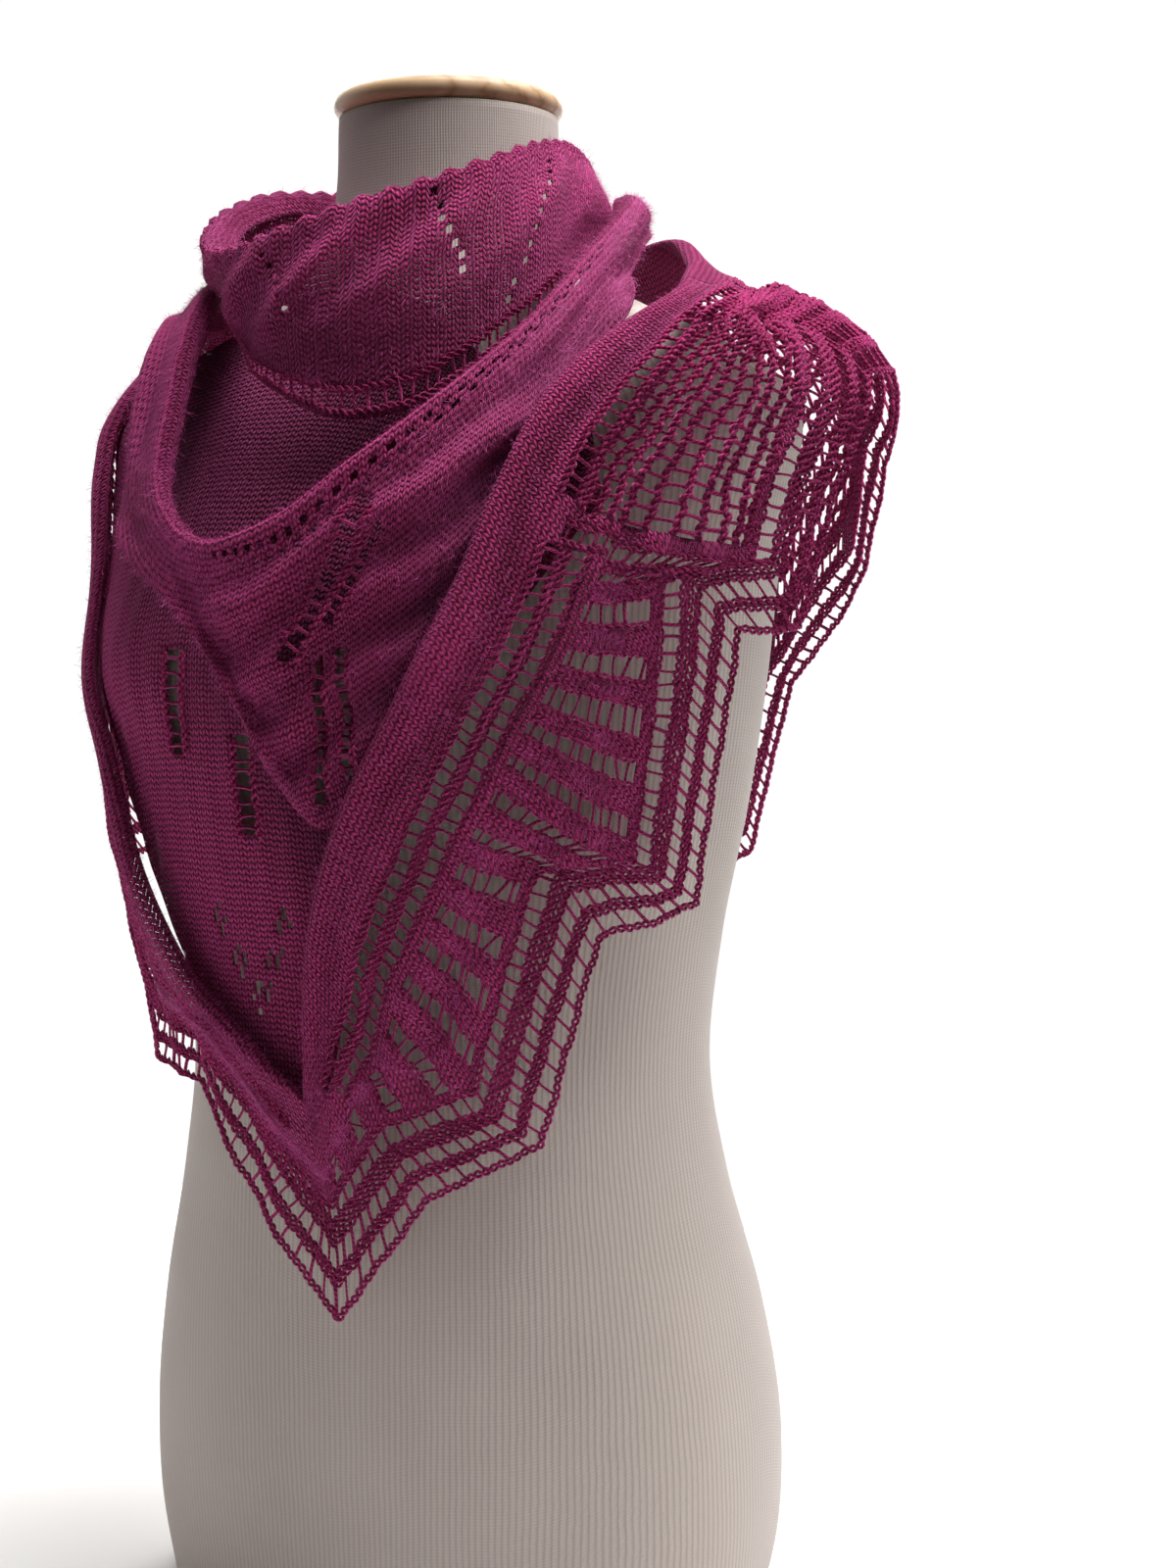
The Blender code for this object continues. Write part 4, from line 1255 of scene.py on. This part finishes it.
u = np.linspace(0, len(SWAG) - 1, SWAG_COLUMNS)
control = swag_rows(u)
run = run_of(control, 2)
share = np.linspace(0, 1, SWAG_ROWS)[:, None] ** 1.15
distance = np.vstack([np.linspace(1, 0, 7, endpoint=False)[:, None] * run[0], share * run[-1]])
swag_points = rows_at(control, run, distance)
swag_normals = grid_normals(swag_points)
wide = np.clip(run[-1] / 0.06, 0, 1)[None, :]
place = u[None, :]
drift = distance / FOLD_PITCH + 0.16 * np.sin(place * 0.9) + 0.10 * np.sin(place * 2.3 + 1)
depth = FOLD_HIGH + 0.0020 * np.sin(place * 1.3 + 0.6)
to_foot = run[-1][None, :] - distance
fade = np.clip((distance - 0.008) / 0.014, 0, 1) * np.clip(to_foot / 0.012, 0, 1)
fade = fade * (1 - 0.75 * bell(place, 12.0, 2.6))
fold = depth * (ridge(drift) + 0.18) * fade * wide
# the lower left edge is rolled, so it stands up as a ridge of its own
rolled = bell(place, 12.6, 2.6)
fold = fold + ROLL_HIGH * rolled * bell(to_foot, 0.0090, 0.0060)
swag_points = swag_points + swag_normals * fold[..., None]
# painted shade: the troughs of the small folds, the lip behind the crest and a band along part of the
# foot are darkened in colour, standing in for shadow
painted_shade = 0.50 * (0.5 - 0.5 * np.cos(2 * np.pi * drift)) * fade * wide + 0.50 * (distance < 0)
painted_shade = np.clip(painted_shade + 0.85 * bell(to_foot, 0.0, 0.022) * bell(place, 5.8, 3.2), 0, 1)
swag_gaps = np.zeros((swag_points.shape[0] - 1, swag_points.shape[1] - 1), bool)
eyelets(swag_gaps, 10, 40, 150, 4, 2)
eyelets(swag_gaps, 12, 42, 140, 4, 2)
swag_normals = grid_normals(swag_points)
# row and column of the upper end, of the lower end, half width, pitch of the rungs
SWAG_LADDERS = (
    ((15, 104), (23, 124), 0.0052, 0.0068),
    ((20, 102), (23, 114), 0.0036, 0.0064),
    ((26, 118), (37, 121.5), 0.0038, 0.0060),
    ((27, 113.5), (38, 115), 0.0036, 0.0060),
)
fold_yarn = [
    slanted_ladder(swag_points, swag_normals, swag_gaps, *line, 300 + 7 * seed)
    for seed, line in enumerate(SWAG_LADDERS)
]
for i in range(22, 37, 2):
    j = int(round(151 - 11 * (i - 22) / 14))
    swag_gaps[i, j] = True
    swag_gaps[i + 1, j - 4] = True
swag = cloth_piece("fold_cloth", swag_points, "chest_swag", swag_gaps, painted_shade)

# %% Layer on the chest
# angle, top height, bottom height
CHEST = (
    (-72, 0.560, 0.505),
    (-60, 0.574, 0.468),
    (-48, 0.586, 0.415),
    (-38, 0.592, 0.362),
    (-28, 0.597, 0.312),
    (-18, 0.600, 0.276),
    (-8, 0.600, 0.252),
    (4, 0.600, 0.236),
    (13, 0.598, 0.262),
    (21, 0.594, 0.345),
    (32, 0.586, 0.400),
    (46, 0.560, 0.455),
    (58, 0.548, 0.500),
)
CHEST_STEP = 0.0030
LADDER_HALF = 0.0055
# angle, lowest and highest height of each ladder column
CHEST_LADDERS = (
    (-17.0, 0.394, 0.438),
    (-1.0, 0.360, 0.402),
    (13.6, 0.372, 0.442),
    (18.6, 0.376, 0.442),
)
CHEST_LEVELS = np.arange(0.604, 0.232, -CHEST_STEP)


def ladder_half_angle(middle):
    """Half a ladder's width as an angle at the chest."""
    return np.degrees(LADDER_HALF / drape_radius(np.radians(middle), 0.4))


def chest_angles():
    """Columns at about one step each, with two on the borders of every ladder."""
    marks = [column(CHEST, 0)[0]]
    for middle, low, high in CHEST_LADDERS:
        half = ladder_half_angle(middle)
        marks += [middle - half, middle + half]
    marks.append(column(CHEST, 0)[-1])
    marks = np.sort(marks)
    runs = []
    for a, b in zip(marks[:-1], marks[1:]):
        runs.append(np.linspace(a, b, max(2, int(round((b - a) / 1.25))), endpoint=False))
    return np.concatenate(runs + [marks[-1:]])


a = chest_angles()
top = smooth(column(CHEST, 0), column(CHEST, 1), a)
bottom = smooth(column(CHEST, 0), column(CHEST, 2), a)
heights = np.clip(CHEST_LEVELS[:, None] + 0 * a, bottom, top)
phi = np.broadcast_to(np.radians(a), heights.shape)
lift = 0.0005 * np.sin(phi * 60) * bell(heights, 0.42, 0.10)
chest_points = on_drape(phi, heights, lift)
flat = np.abs(np.diff(heights, axis=0)) < 1e-6
gaps = flat[:, :-1] & flat[:, 1:]
middle_a = (a[1:] + a[:-1]) / 2
middle_z = (heights[1:, :-1] + heights[:-1, :-1]) / 2
chest_yarn = []
for k, (middle, low, high) in enumerate(CHEST_LADDERS):
    half = ladder_half_angle(middle)
    inside = (np.abs(middle_a - middle) < half)[None, :] & (middle_z > low) & (middle_z < high)
    gaps |= inside
    z = np.linspace(low, high, 40)
    left = on_drape(np.radians(middle - half), z, 0.0008)
    right = on_drape(np.radians(middle + half), z, 0.0008)
    out = polar(np.full_like(z, np.radians(middle)), 0 * z, 1 + 0 * z)
    chest_yarn.append(ladder(left, right, out, 0.0060, 40 + k))
# two rows of eyelets, one above the other, each a V above the front point
V_FOOT = 0.2830
V_ANGLE = 3.5
V_SLOPE = 0.0044
V_HALF = 9.5
for k, rise in enumerate((0.0, 0.0105)):
    off = np.abs(middle_a + V_ANGLE)
    path = V_FOOT + rise + V_SLOPE * off
    near = np.abs(middle_z - path[None, :]) < 0.0022
    near &= (off < V_HALF)[None, :] & (np.arange(len(middle_a)) % 3 != k)[None, :]
    gaps |= near
# painted shade: the layer is darkened in colour under the hanging fold and fades out below its foot,
# standing in for the fold's shadow
foot = np.interp(a, column(SWAG, 3)[::-1], column(SWAG, 4)[::-1])
painted_shade = 0.85 * np.exp(-((np.clip(foot - heights, 0, 1) / 0.045) ** 2))
chest = cloth_piece("chest_cloth", chest_points, "chest_layer", gaps, painted_shade)

# %% [markdown]
# ## The wings
# Both wings are one line of stations, from the right wing's tail over the right shoulder to
# the front point, and on over the left shoulder to the left tail.
# At a station the rim, the inner line and the toothed edge each have an angle and a height
# on the drape surface, and the cloth is laid from the first to the last.

# %% Tables of the wings
# rim angle, rim height, rim reach, roll, edge angle, edge height, edge lift, face lift
LEFT_WING = (
    (10, 0.251, 0.136, 1.0, 14.0, 0.156, 0.006, 0.008),
    (11, 0.292, 0.141, 1.0, 33.0, 0.211, 0.006, 0.009),
    (15, 0.334, 0.150, 1.0, 53.0, 0.233, 0.006, 0.010),
    (22, 0.376, 0.161, 1.0, 61.0, 0.321, 0.008, 0.011),
    (31, 0.420, 0.172, 1.0, 78.0, 0.332, 0.008, 0.012),
    (39, 0.467, 0.173, 1.0, 75.6, 0.448, 0.010, 0.013),
    (45, 0.503, 0.170, 1.0, 85.5, 0.450, 0.010, 0.012),
    (54, 0.544, 0.164, 1.0, 88.0, 0.508, 0.010, 0.010),
    (67, 0.577, 0.157, 1.0, 93.5, 0.551, 0.010, 0.008),
    (84, 0.599, 0.140, 1.0, 100.0, 0.552, 0.021, 0.008),
    (103, 0.616, 0.121, 0.9, 108.0, 0.522, 0.016, 0.008),
    (120, 0.630, 0.109, 0.7, 117.0, 0.478, 0.024, 0.012),
    (135, 0.632, 0.102, 0.4, 130.0, 0.425, 0.014, 0.012),
    (148, 0.630, 0.097, 0.1, 135.0, 0.345, 0.010, 0.012),
    (160, 0.627, 0.094, 0.0, 147.0, 0.330, 0.010, 0.012),
    (172, 0.625, 0.093, 0.0, 149.0, 0.252, 0.010, 0.012),
    (184, 0.623, 0.093, 0.0, 168.0, 0.246, 0.010, 0.012),
    (195, 0.621, 0.093, 0.0, 183.0, 0.190, 0.010, 0.012),
    (204, 0.618, 0.094, 0.0, 204.0, 0.262, 0.010, 0.012),
)
RIGHT_WING = (
    (10, 0.251, 0.136, 1.0, 14.0, 0.156, 0.006, 0.008),
    (0, 0.264, 0.136, 1.0, -3.0, 0.194, 0.005, 0.007),
    (-9, 0.279, 0.139, 1.0, -22.0, 0.251, 0.005, 0.007),
    (-20, 0.302, 0.145, 1.0, -43.0, 0.255, 0.006, 0.007),
    (-30, 0.345, 0.156, 1.0, -60.0, 0.335, 0.006, 0.006),
    (-40, 0.400, 0.163, 1.0, -78.0, 0.345, 0.006, 0.0035),
    (-50, 0.460, 0.165, 1.0, -80.0, 0.440, 0.006, 0.0032),
    (-60, 0.520, 0.167, 1.0, -93.0, 0.442, 0.006, 0.006),
    (-70, 0.570, 0.154, 0.9, -95.0, 0.497, 0.006, 0.006),
    (-84, 0.599, 0.130, 0.7, -104.5, 0.500, 0.006, 0.006),
    (-101, 0.610, 0.110, 0.3, -112.0, 0.470, 0.005, 0.005),
    (-118, 0.613, 0.098, 0.1, -121.5, 0.440, 0.004, 0.004),
    (-133, 0.615, 0.090, 0.0, -130.0, 0.390, 0.003, 0.003),
    (-146, 0.615, 0.087, 0.0, -141.0, 0.345, 0.003, 0.003),
    (-158, 0.615, 0.085, 0.0, -152.0, 0.320, 0.003, 0.003),
    (-170, 0.615, 0.084, 0.0, -158.0, 0.255, 0.003, 0.003),
    (-182, 0.615, 0.084, 0.0, -174.0, 0.250, 0.003, 0.003),
    (-193, 0.615, 0.084, 0.0, -188.0, 0.195, 0.003, 0.003),
    (-201, 0.615, 0.085, 0.0, -206.0, 0.270, 0.003, 0.003),
)
FOLD_WIDTH = 0.026
EDGING_DEPTH = 0.0255
SEAM = 0.0007


def foot_of(phi, z, r):
    """Height and lift on the drape surface of points given by height and reach: the nearest of
    many levels."""
    heights = np.linspace(0.12, 0.686, 1133)
    reach = drape_radius(phi[:, None], heights[None, :])
    away = np.hypot(reach - r[:, None], heights[None, :] - z[:, None])
    k = np.argmin(away, axis=1)
    return heights[k], away[np.arange(len(k)), k]


def wing_tables():
    """Stations of both wings in one line."""
    table = np.array(list(RIGHT_WING[::-1]) + list(LEFT_WING[1:]), float)
    rim_phi = np.radians(table[:, 0])
    rim_z, rim_lift = foot_of(rim_phi, table[:, 1], table[:, 2])
    return {
        "rim_phi": rim_phi,
        "rim_z": rim_z,
        "rim_lift": rim_lift,
        "roll": table[:, 3],
        "phi": np.radians(table[:, 4]),
        "z": table[:, 5],
        "lift": table[:, 6],
        "face": table[:, 7],
    }


WING = wing_tables()
CORNER = len(RIGHT_WING) - 1
SHOULDER_RIGHT = CORNER - 9
SHOULDER_LEFT = CORNER + 9
TAIL_LEFT = len(WING["phi"]) - 1


def at(values, u, smoothly=True):
    """Value at a station that need not be whole: cubic within each wing, or straight between
    stations."""
    k = np.arange(len(values))
    if not smoothly:
        return np.interp(u, k, values)
    right = smooth(k[: CORNER + 1], values[: CORNER + 1], u)
    left = smooth(k[CORNER:], values[CORNER:], u)
    return np.where(np.asarray(u) > CORNER, left, right)


def edge_flat(phi, z):
    """The edge laid flat: length round the drape surface against length down it."""
    mid = drape_radius(phi, z)
    steps = np.diff(phi) * (mid[1:] + mid[:-1]) / 2
    return np.concatenate([[0], np.cumsum(steps)]), -arc_at(phi, z)


def inset(phi, z, depth):
    """The edge moved inwards by a depth, mitred at every tooth corner."""
    x, y = edge_flat(phi, z)
    line = np.stack([x, y], axis=1)
    run = np.diff(line, axis=0)
    run /= np.linalg.norm(run, axis=1, keepdims=True)
    side = np.stack([-run[:, 1], run[:, 0]], axis=1)
    before = np.vstack([side[:1], side])
    after = np.vstack([side, side[-1:]])
    both = before + after
    both /= np.linalg.norm(both, axis=1, keepdims=True)
    reach = np.clip(np.sum(both * after, axis=1), 0.6, 1.0)
    moved = line + both * (depth / reach)[:, None]
    angle = phi + (moved[:, 0] - x) / drape_radius(phi, z)
    return angle, height_at(angle, -moved[:, 1])


def rim_distance(u, phi, z):
    """Distance along the cloth from the rim of the same station."""
    rim_phi = at(WING["rim_phi"], u)
    across = (phi - rim_phi) * drape_radius(phi, z)
    down = arc_at(phi, z) - arc_at(rim_phi, at(WING["rim_z"], u))
    return np.hypot(across, down)


def cloth_lift(u, phi, z, share):
    """Lift of a wing: the face level, a soft ridge by the rim, and the edge level at the end."""
    level = at(WING["face"], u) * (1 - share) + at(WING["lift"], u, False) * share
    swell = np.exp(-((rim_distance(u, phi, z) / FOLD_WIDTH) ** 2))
    wave = 0.0012 * np.sin(26 * phi + 5 * z) * share
    return level + (at(WING["rim_lift"], u) - level) * swell + wave


def rim_normal(phi, arc, u):
    """Unit step across the rim towards the cloth, as an angle and a length down the drape
    surface."""
    reach = drape_radius(phi, height_at(phi, arc))
    along = np.gradient(phi, u) * reach
    down = np.gradient(arc, u)
    length = np.hypot(along, down)
    return -down / length / reach, along / length


INNER_PHI, INNER_Z = inset(WING["phi"], WING["z"], EDGING_DEPTH + SEAM)
print("stations:", TAIL_LEFT + 1, "front point at station", CORNER)

# %% Stations and control rows of a wing


def stations(first, last, step):
    """Station numbers at about one step of cloth each, with every whole station kept, because
    its tooth corner must stay sharp."""
    lines = [edge_flat(INNER_PHI, INNER_Z), edge_flat(WING["rim_phi"], WING["rim_z"])]
    us = [np.array([float(first)])]
    for k in range(first, last):
        length = max(np.hypot(x[k + 1] - x[k], y[k + 1] - y[k]) for x, y in lines)
        parts = max(2, int(np.ceil(length / step)))
        us.append(k + np.arange(1, parts + 1) / parts)
    return np.concatenate(us)


FACE_ROWS = 7


def wing_rows(u):
    """Control rows of a wing: two rows of lip behind the rim, then the face at
    w = (j / 7) to the power 1.35."""
    phi0 = at(WING["rim_phi"], u)
    z0 = at(WING["rim_z"], u)
    roll = at(WING["roll"], u)
    crest = at(WING["rim_lift"], u)
    arc0 = arc_at(phi0, z0)
    down_phi = at(INNER_PHI, u, False) - phi0
    down_arc = arc_at(at(INNER_PHI, u, False), at(INNER_Z, u, False)) - arc0
    open_up = np.clip(np.abs(u - CORNER) / 1.6, 0, 1)
    drop = np.minimum(0.71 * crest, 0.0100) * roll * (0.45 + 0.55 * open_up)
    side_phi, side_arc = rim_normal(phi0, arc0, u)
    rows = []
    for reach, share in ((0.008 - 0.016 * roll, 1.0), (0.0035, 0.45)):
        reach = np.where(reach < 0, reach * (0.2 + 0.8 * open_up), reach * open_up)
        phi = phi0 - side_phi * reach
        rows.append(on_drape(phi, height_at(phi, arc0 - side_arc * reach), crest - share * drop))
    for j in range(FACE_ROWS + 1):
        w = (j / FACE_ROWS) ** 1.35
        phi = phi0 + down_phi * w
        z = height_at(phi, arc0 + down_arc * w)
        rows.append(on_drape(phi, z, cloth_lift(u, phi, z, w)))
    return np.array(rows)


# rows at fixed distances from the rim, and from the edging, in millimetres
NEAR_MM = (
    0, 2.5, 5, 7.5, 10, 12.5, 15, 17.5, 20, 22.5,
    25, 27.8, 30.6, 33.5, 36.5, 39.3, 42.1, 45, 48, 51,
)
FAR_MM = (26, 23, 20.3, 17.7, 15, 12.8, 10.6, 8.2, 5.8, 3.4, 1.2, 0)
NEAR = np.array(NEAR_MM) / 1000
FAR = np.array(FAR_MM) / 1000
LIP_SHARES = (1.0, 0.84, 0.68, 0.52, 0.36, 0.18)


def wing_distances(run, middle_rows):
    """Distances from the rim down each column: fixed near the rim and near the edging, and in
    proportion between them."""
    lip = -run[0]
    face = run[-1]
    near = NEAR[:, None] * np.minimum(1, 0.60 * face / NEAR[-1])
    far = face - FAR[:, None] * np.minimum(1, 0.38 * face / FAR[0])
    t = np.linspace(0, 1, middle_rows + 2)[1:-1, None]
    middle = near[-1] + (far[0] - near[-1]) * t
    return np.vstack([-lip * np.array(LIP_SHARES)[:, None], near, middle, far])


def wing_folds(u, d, face):
    """Soft folds that run beside the rim: a ridge function of the distance, strongest before
    the left shoulder."""
    left = bell(u, 25.0, 3.2)[None, :]
    point = bell(u, 19.5, 3.0)[None, :]
    right = bell(u, 12.5, 3.5)[None, :]
    drift = d + 0.004 * np.sin(u * 1.9)[None, :] + 0.003 * np.sin(u * 0.7 + 1)[None, :]
    fade = np.clip(d / 0.012, 0, 1) * np.clip((face[None, :] - d) / 0.03, 0, 1)
    fold = 0.0046 * left * ridge(drift / 0.0235) + 0.0024 * point * ridge(drift / 0.030)
    return (fold + 0.0020 * right * ridge(drift / 0.028)) * fade


def wing_grid(u, middle_rows):
    """Points, normals and painted shade of a wing's sheet: the troughs of its folds and the lip behind
    the rim are darkened in colour.
    """
    control = wing_rows(u)
    run = run_of(control, 2)
    d = wing_distances(run, middle_rows)
    points = rows_at(control, run, d)
    normals = grid_normals(points)
    folds = wing_folds(u, d, run[-1])
    points = points + normals * folds[..., None]
    # painted shade: troughs of the folds and the lip behind the rim are darkened in colour, standing in
    # for shadow
    painted_shade = 0.60 * np.clip(-folds / 0.0019, 0, 1) + 0.50 * (d < 0)
    return points, grid_normals(points), painted_shade


print("rows near the rim:", len(NEAR), "rows near the edging:", len(FAR))

# %% [markdown]
# The front of the wings carries the lace.
# Beside the rim run two ladders with a narrow strip of stitches between them, and beside the
# toothed edge bands of bare strands alternate with small knitted patches.
# The cells of a ladder are left out of the sheet, and yarn takes their place.

# %% Front of both wings
FRONT_STEP = 0.0032
LIP = len(LIP_SHARES)
MIDDLE_ROWS = 34


def row_of(table, value):
    """Number of the row in a table of distances that lies nearest to a value."""
    return int(np.argmin(np.abs(table - value)))


def near_row(mm):
    """Row of a wing's sheet at a distance from the rim."""
    return LIP + row_of(NEAR, mm / 1000)


def far_row(mm, middle_rows):
    """Row of a wing's sheet at a distance from the edging."""
    return LIP + len(NEAR) + middle_rows + row_of(FAR, mm / 1000)


def cut_band(gaps, u, first_row, last_row, first_u, last_u):
    """Marks the cells between two rows and two stations as a gap, and gives the columns it
    spans."""
    middle = (u[1:] + u[:-1]) / 2
    inside = (middle > first_u) & (middle < last_u)
    gaps[first_row:last_row] |= inside[None, :]
    k = np.flatnonzero(inside)
    return slice(k[0], k[-1] + 2)


u = stations(SHOULDER_RIGHT, SHOULDER_LEFT, FRONT_STEP)
front_points, front_normals, front_painted_shade = wing_grid(u, MIDDLE_ROWS)
gaps = np.zeros((front_points.shape[0] - 1, front_points.shape[1] - 1), bool)
front_yarn = []
# station from, station to, nearest distance, farthest distance from the rim in millimetres
RIM_LADDERS = (
    (18.6, 23.7, 25, 33.5),
    (18.8, 23.7, 36.5, 45),
    (24.2, 26.9, 22.5, 30.6),
    (12.2, 17.4, 25, 33.5),
)


def row_ladder(points, normals, gaps, u, rows, first_u, last_u, pitch, seed):
    """Cuts a band between two rows of a sheet and two stations, and lays a ladder in it."""
    cols = cut_band(gaps, u, *rows, first_u, last_u)
    upper, lower = [points[row, cols] for row in rows]
    return ladder(upper, lower, normals[rows[0], cols], pitch, seed)


def front_ladder(*band):
    """A ladder in the front's sheet."""
    return row_ladder(front_points, front_normals, gaps, u, *band)


for seed, (u0, u1, d0, d1) in enumerate(RIM_LADDERS):
    rows = near_row(d0), near_row(d1)
    front_yarn.append(front_ladder(rows, u0, u1, 0.0062, 100 + 7 * seed))
# the third row of the edging's ladders is worked in the cloth itself, just inside the seam
rows = far_row(10.6, MIDDLE_ROWS), far_row(1.2, MIDDLE_ROWS)
front_yarn.append(front_ladder(rows, SHOULDER_RIGHT + 0.05, SHOULDER_LEFT - 0.02, 0.0064, 171))

# %% Bands of bars, and brick netting on both shoulders
BAND_STEP = 0.0190
BAND_SHARE = 0.54
BRICK = 0.0074
NET_GAP = 0.0064
NET_FROM = 24.12
NET_TO = 11.9


def bar_band(u0, u1, i0, i1, seed):
    """One band of bars: its cells are cut between two stations and two rows, and the bars run
    along the rows."""
    cols = cut_band(gaps, u, i0, i1, u0, u1)
    rows = slice(i0, i1 + 1)
    return cross_ladder(front_points, front_normals, rows, cols.start, cols.stop - 1, 0.0058, seed)


band_first = near_row(51)
band_last = far_row(15, MIDDLE_ROWS)
band_middle = (band_first + band_last) // 2
for k in list(range(12, 16)) + list(range(18, 24)):
    cols = np.flatnonzero((u >= k) & (u <= k + 1))
    wide = run_along(front_points[band_middle, cols])[-1]
    count = max(1, int(round(wide / BAND_STEP)))
    deep = run_along(front_points[band_first:band_last, cols[0]])[-1]
    for n in range(count if deep > 0.008 else 0):
        u0 = k + (n + 0.5 - BAND_SHARE / 2) / count
        u1 = u0 + BAND_SHARE / count
        front_yarn.append(bar_band(u0, u1, band_first, band_last, 400 + 11 * k + n))
front_yarn.append(bar_band(23.76, 24.02, near_row(30.6), near_row(51), 391))


def netted(points, normals, gaps, u, first_row, last_row, first_u, last_u, seed):
    """Cuts a stretch of the sheet and fills it with brick netting, with chains about one gap
    apart at its middle."""
    cols = cut_band(gaps, u, first_row, last_row, first_u, last_u)
    run = run_along(points[first_row : last_row + 1, (cols.start + cols.stop) // 2])
    count = max(2, int(round(run[-1] / NET_GAP)) + 1)
    rows = [first_row + int(np.argmin(np.abs(run - s))) for s in np.linspace(0, run[-1], count)]
    return netting(points, normals, rows, cols, BRICK, seed)


# rim row, first and last station, seed
NETS = (
    (near_row(33.5), NET_FROM, SHOULDER_LEFT + 1, 700),
    (near_row(36.5), SHOULDER_RIGHT - 1, NET_TO, 800),
)
net = [
    netted(front_points, front_normals, gaps, u, row, band_last, u0, u1, seed)
    for row, u0, u1, seed in NETS
]
corner_column = int(np.argmin(np.abs(u - CORNER)))
front = cloth_piece("front_cloth", front_points, "front", gaps, front_painted_shade, origin=corner_column)
front_halo = halo("front_halo", front_points, front_normals, 40000, 5, gaps)
cowl_halo = halo("cowl_halo", cowl_points, cowl_normals, 24000, 6, cowl_gaps)
fold_halo = halo("fold_halo", swag_points, swag_normals, 26000, 7, swag_gaps)

# %% Backs of both wings
BACK_STEP = 0.0046
BACK_MIDDLE = 30
# stations of netting beside each shoulder
BACK_NET = 2.9


def back_cloth(name, first, last, node):
    """The back of one wing, from its shoulder seam to its tail."""
    u = stations(first, last, BACK_STEP)
    points, normals, painted_shade = wing_grid(u, BACK_MIDDLE)
    gaps = np.zeros((points.shape[0] - 1, points.shape[1] - 1), bool)
    yarn = []
    rows = far_row(12.8, BACK_MIDDLE), far_row(3.4, BACK_MIDDLE)
    for k in range(first, last):
        band = rows, k + 0.08, k + 0.92
        yarn.append(row_ladder(points, normals, gaps, u, *band, 0.0066, 500 + 7 * k))
    at_left = first == SHOULDER_LEFT
    start, stop = (first - 1, first + BACK_NET) if at_left else (last - BACK_NET, last + 1)
    rows = near_row(22.5), far_row(20.3, BACK_MIDDLE)
    lace = netted(points, normals, gaps, u, *rows, start, stop, 900)
    made = cloth_piece(name, points, node, gaps, painted_shade)
    return made, yarn, lace


back_left, left_yarn, left_net = back_cloth("back_left_cloth", SHOULDER_LEFT, TAIL_LEFT, "back_left")
back_right, right_yarn, right_net = back_cloth("back_right_cloth", 0, SHOULDER_RIGHT, "back_right")

# %% [markdown]
# ## The toothed edging
# The edging was knitted sideways, so its chains run along the edge. Two rows of open cells
# lie between them, and close strands fill the narrow spaces. The last chain joins the cloth.
# The corners of the teeth stay sharp because every rail is taken through the same mitred
# stations.

# %% Edging
# depth of each chain, inwards from the edge
EDGING_FRONT = (0.0008, 0.0100, 0.0125, 0.0215, 0.0247)
EDGING_BACK = (0.0008, 0.0115, 0.0150, 0.0247)


def edging_lines(u, depths):
    """Rails of the edging: points at each depth inwards from the edge, on the lifted drape
    surface."""
    inner_phi, inner_z = inset(WING["phi"], WING["z"], EDGING_DEPTH)
    phi0 = at(inner_phi, u, False)
    phi1 = at(WING["phi"], u, False)
    arc0 = arc_at(phi0, at(inner_z, u, False))
    arc1 = arc_at(phi1, at(WING["z"], u, False))
    lines = []
    for depth in depths:
        w = 1 - depth / EDGING_DEPTH
        phi = phi0 + (phi1 - phi0) * w
        z = height_at(phi, arc0 + (arc1 - arc0) * w)
        lines.append(on_drape(phi, z, cloth_lift(u, phi, z, 1.0)))
    return np.array(lines)


def edging_yarn(first, last, depths, pitches):
    """Chains at every depth, and rungs between each pair of chains with its own pitch."""
    u = stations(first, last, 0.004)
    lines = edging_lines(u, depths)
    normals = grid_normals(lines)
    rails = [chain(line, normal) for line, normal in zip(lines, normals)]
    strands = []
    for k, pitch in enumerate(pitches):
        at_k = resample((lines[k] + lines[k + 1]) / 2, pitch)
        ends = pick(lines[k], at_k), pick(lines[k + 1], at_k)
        strands.append(rungs(*ends, pick(normals[k], at_k), 900 + 5 * k + first))
    return rails, strands


# pitch of the strands between each pair of chains
FRONT_PITCHES = (0.0092, 0.0036, 0.0064, 0.0036)
BACK_PITCHES = (0.0070, 0.0040, 0.0090)
rails, strands = edging_yarn(SHOULDER_RIGHT, SHOULDER_LEFT, EDGING_FRONT, FRONT_PITCHES)
front_rails = yarn_piece("edging_front_chains", rails, ("edging_front",))
front_strands = yarn_piece("edging_front_strands", strands, ("edging_front",))
rails, strands = edging_yarn(SHOULDER_LEFT, TAIL_LEFT, EDGING_BACK, BACK_PITCHES)
left_edging = yarn_piece("edging_left_yarn", rails + strands, ("edging_back_left",))
rails, strands = edging_yarn(0, SHOULDER_RIGHT, EDGING_BACK, BACK_PITCHES)
right_edging = yarn_piece("edging_right_yarn", rails + strands, ("edging_back_right",))
front_lace = yarn_piece("front_ladders", front_yarn)
shoulder_net = yarn_piece("front_netting", net)
left_net = yarn_piece("back_left_netting", [left_net])
right_net = yarn_piece("back_right_netting", [right_net])
fold_lace = yarn_piece("fold_ladders", fold_yarn)
cowl_lace = yarn_piece("cowl_hem_ladder", cowl_yarn)
left_lace = yarn_piece("back_left_ladders", left_yarn)
right_lace = yarn_piece("back_right_ladders", right_yarn)
chest_lace = yarn_piece("chest_ladders", chest_yarn)
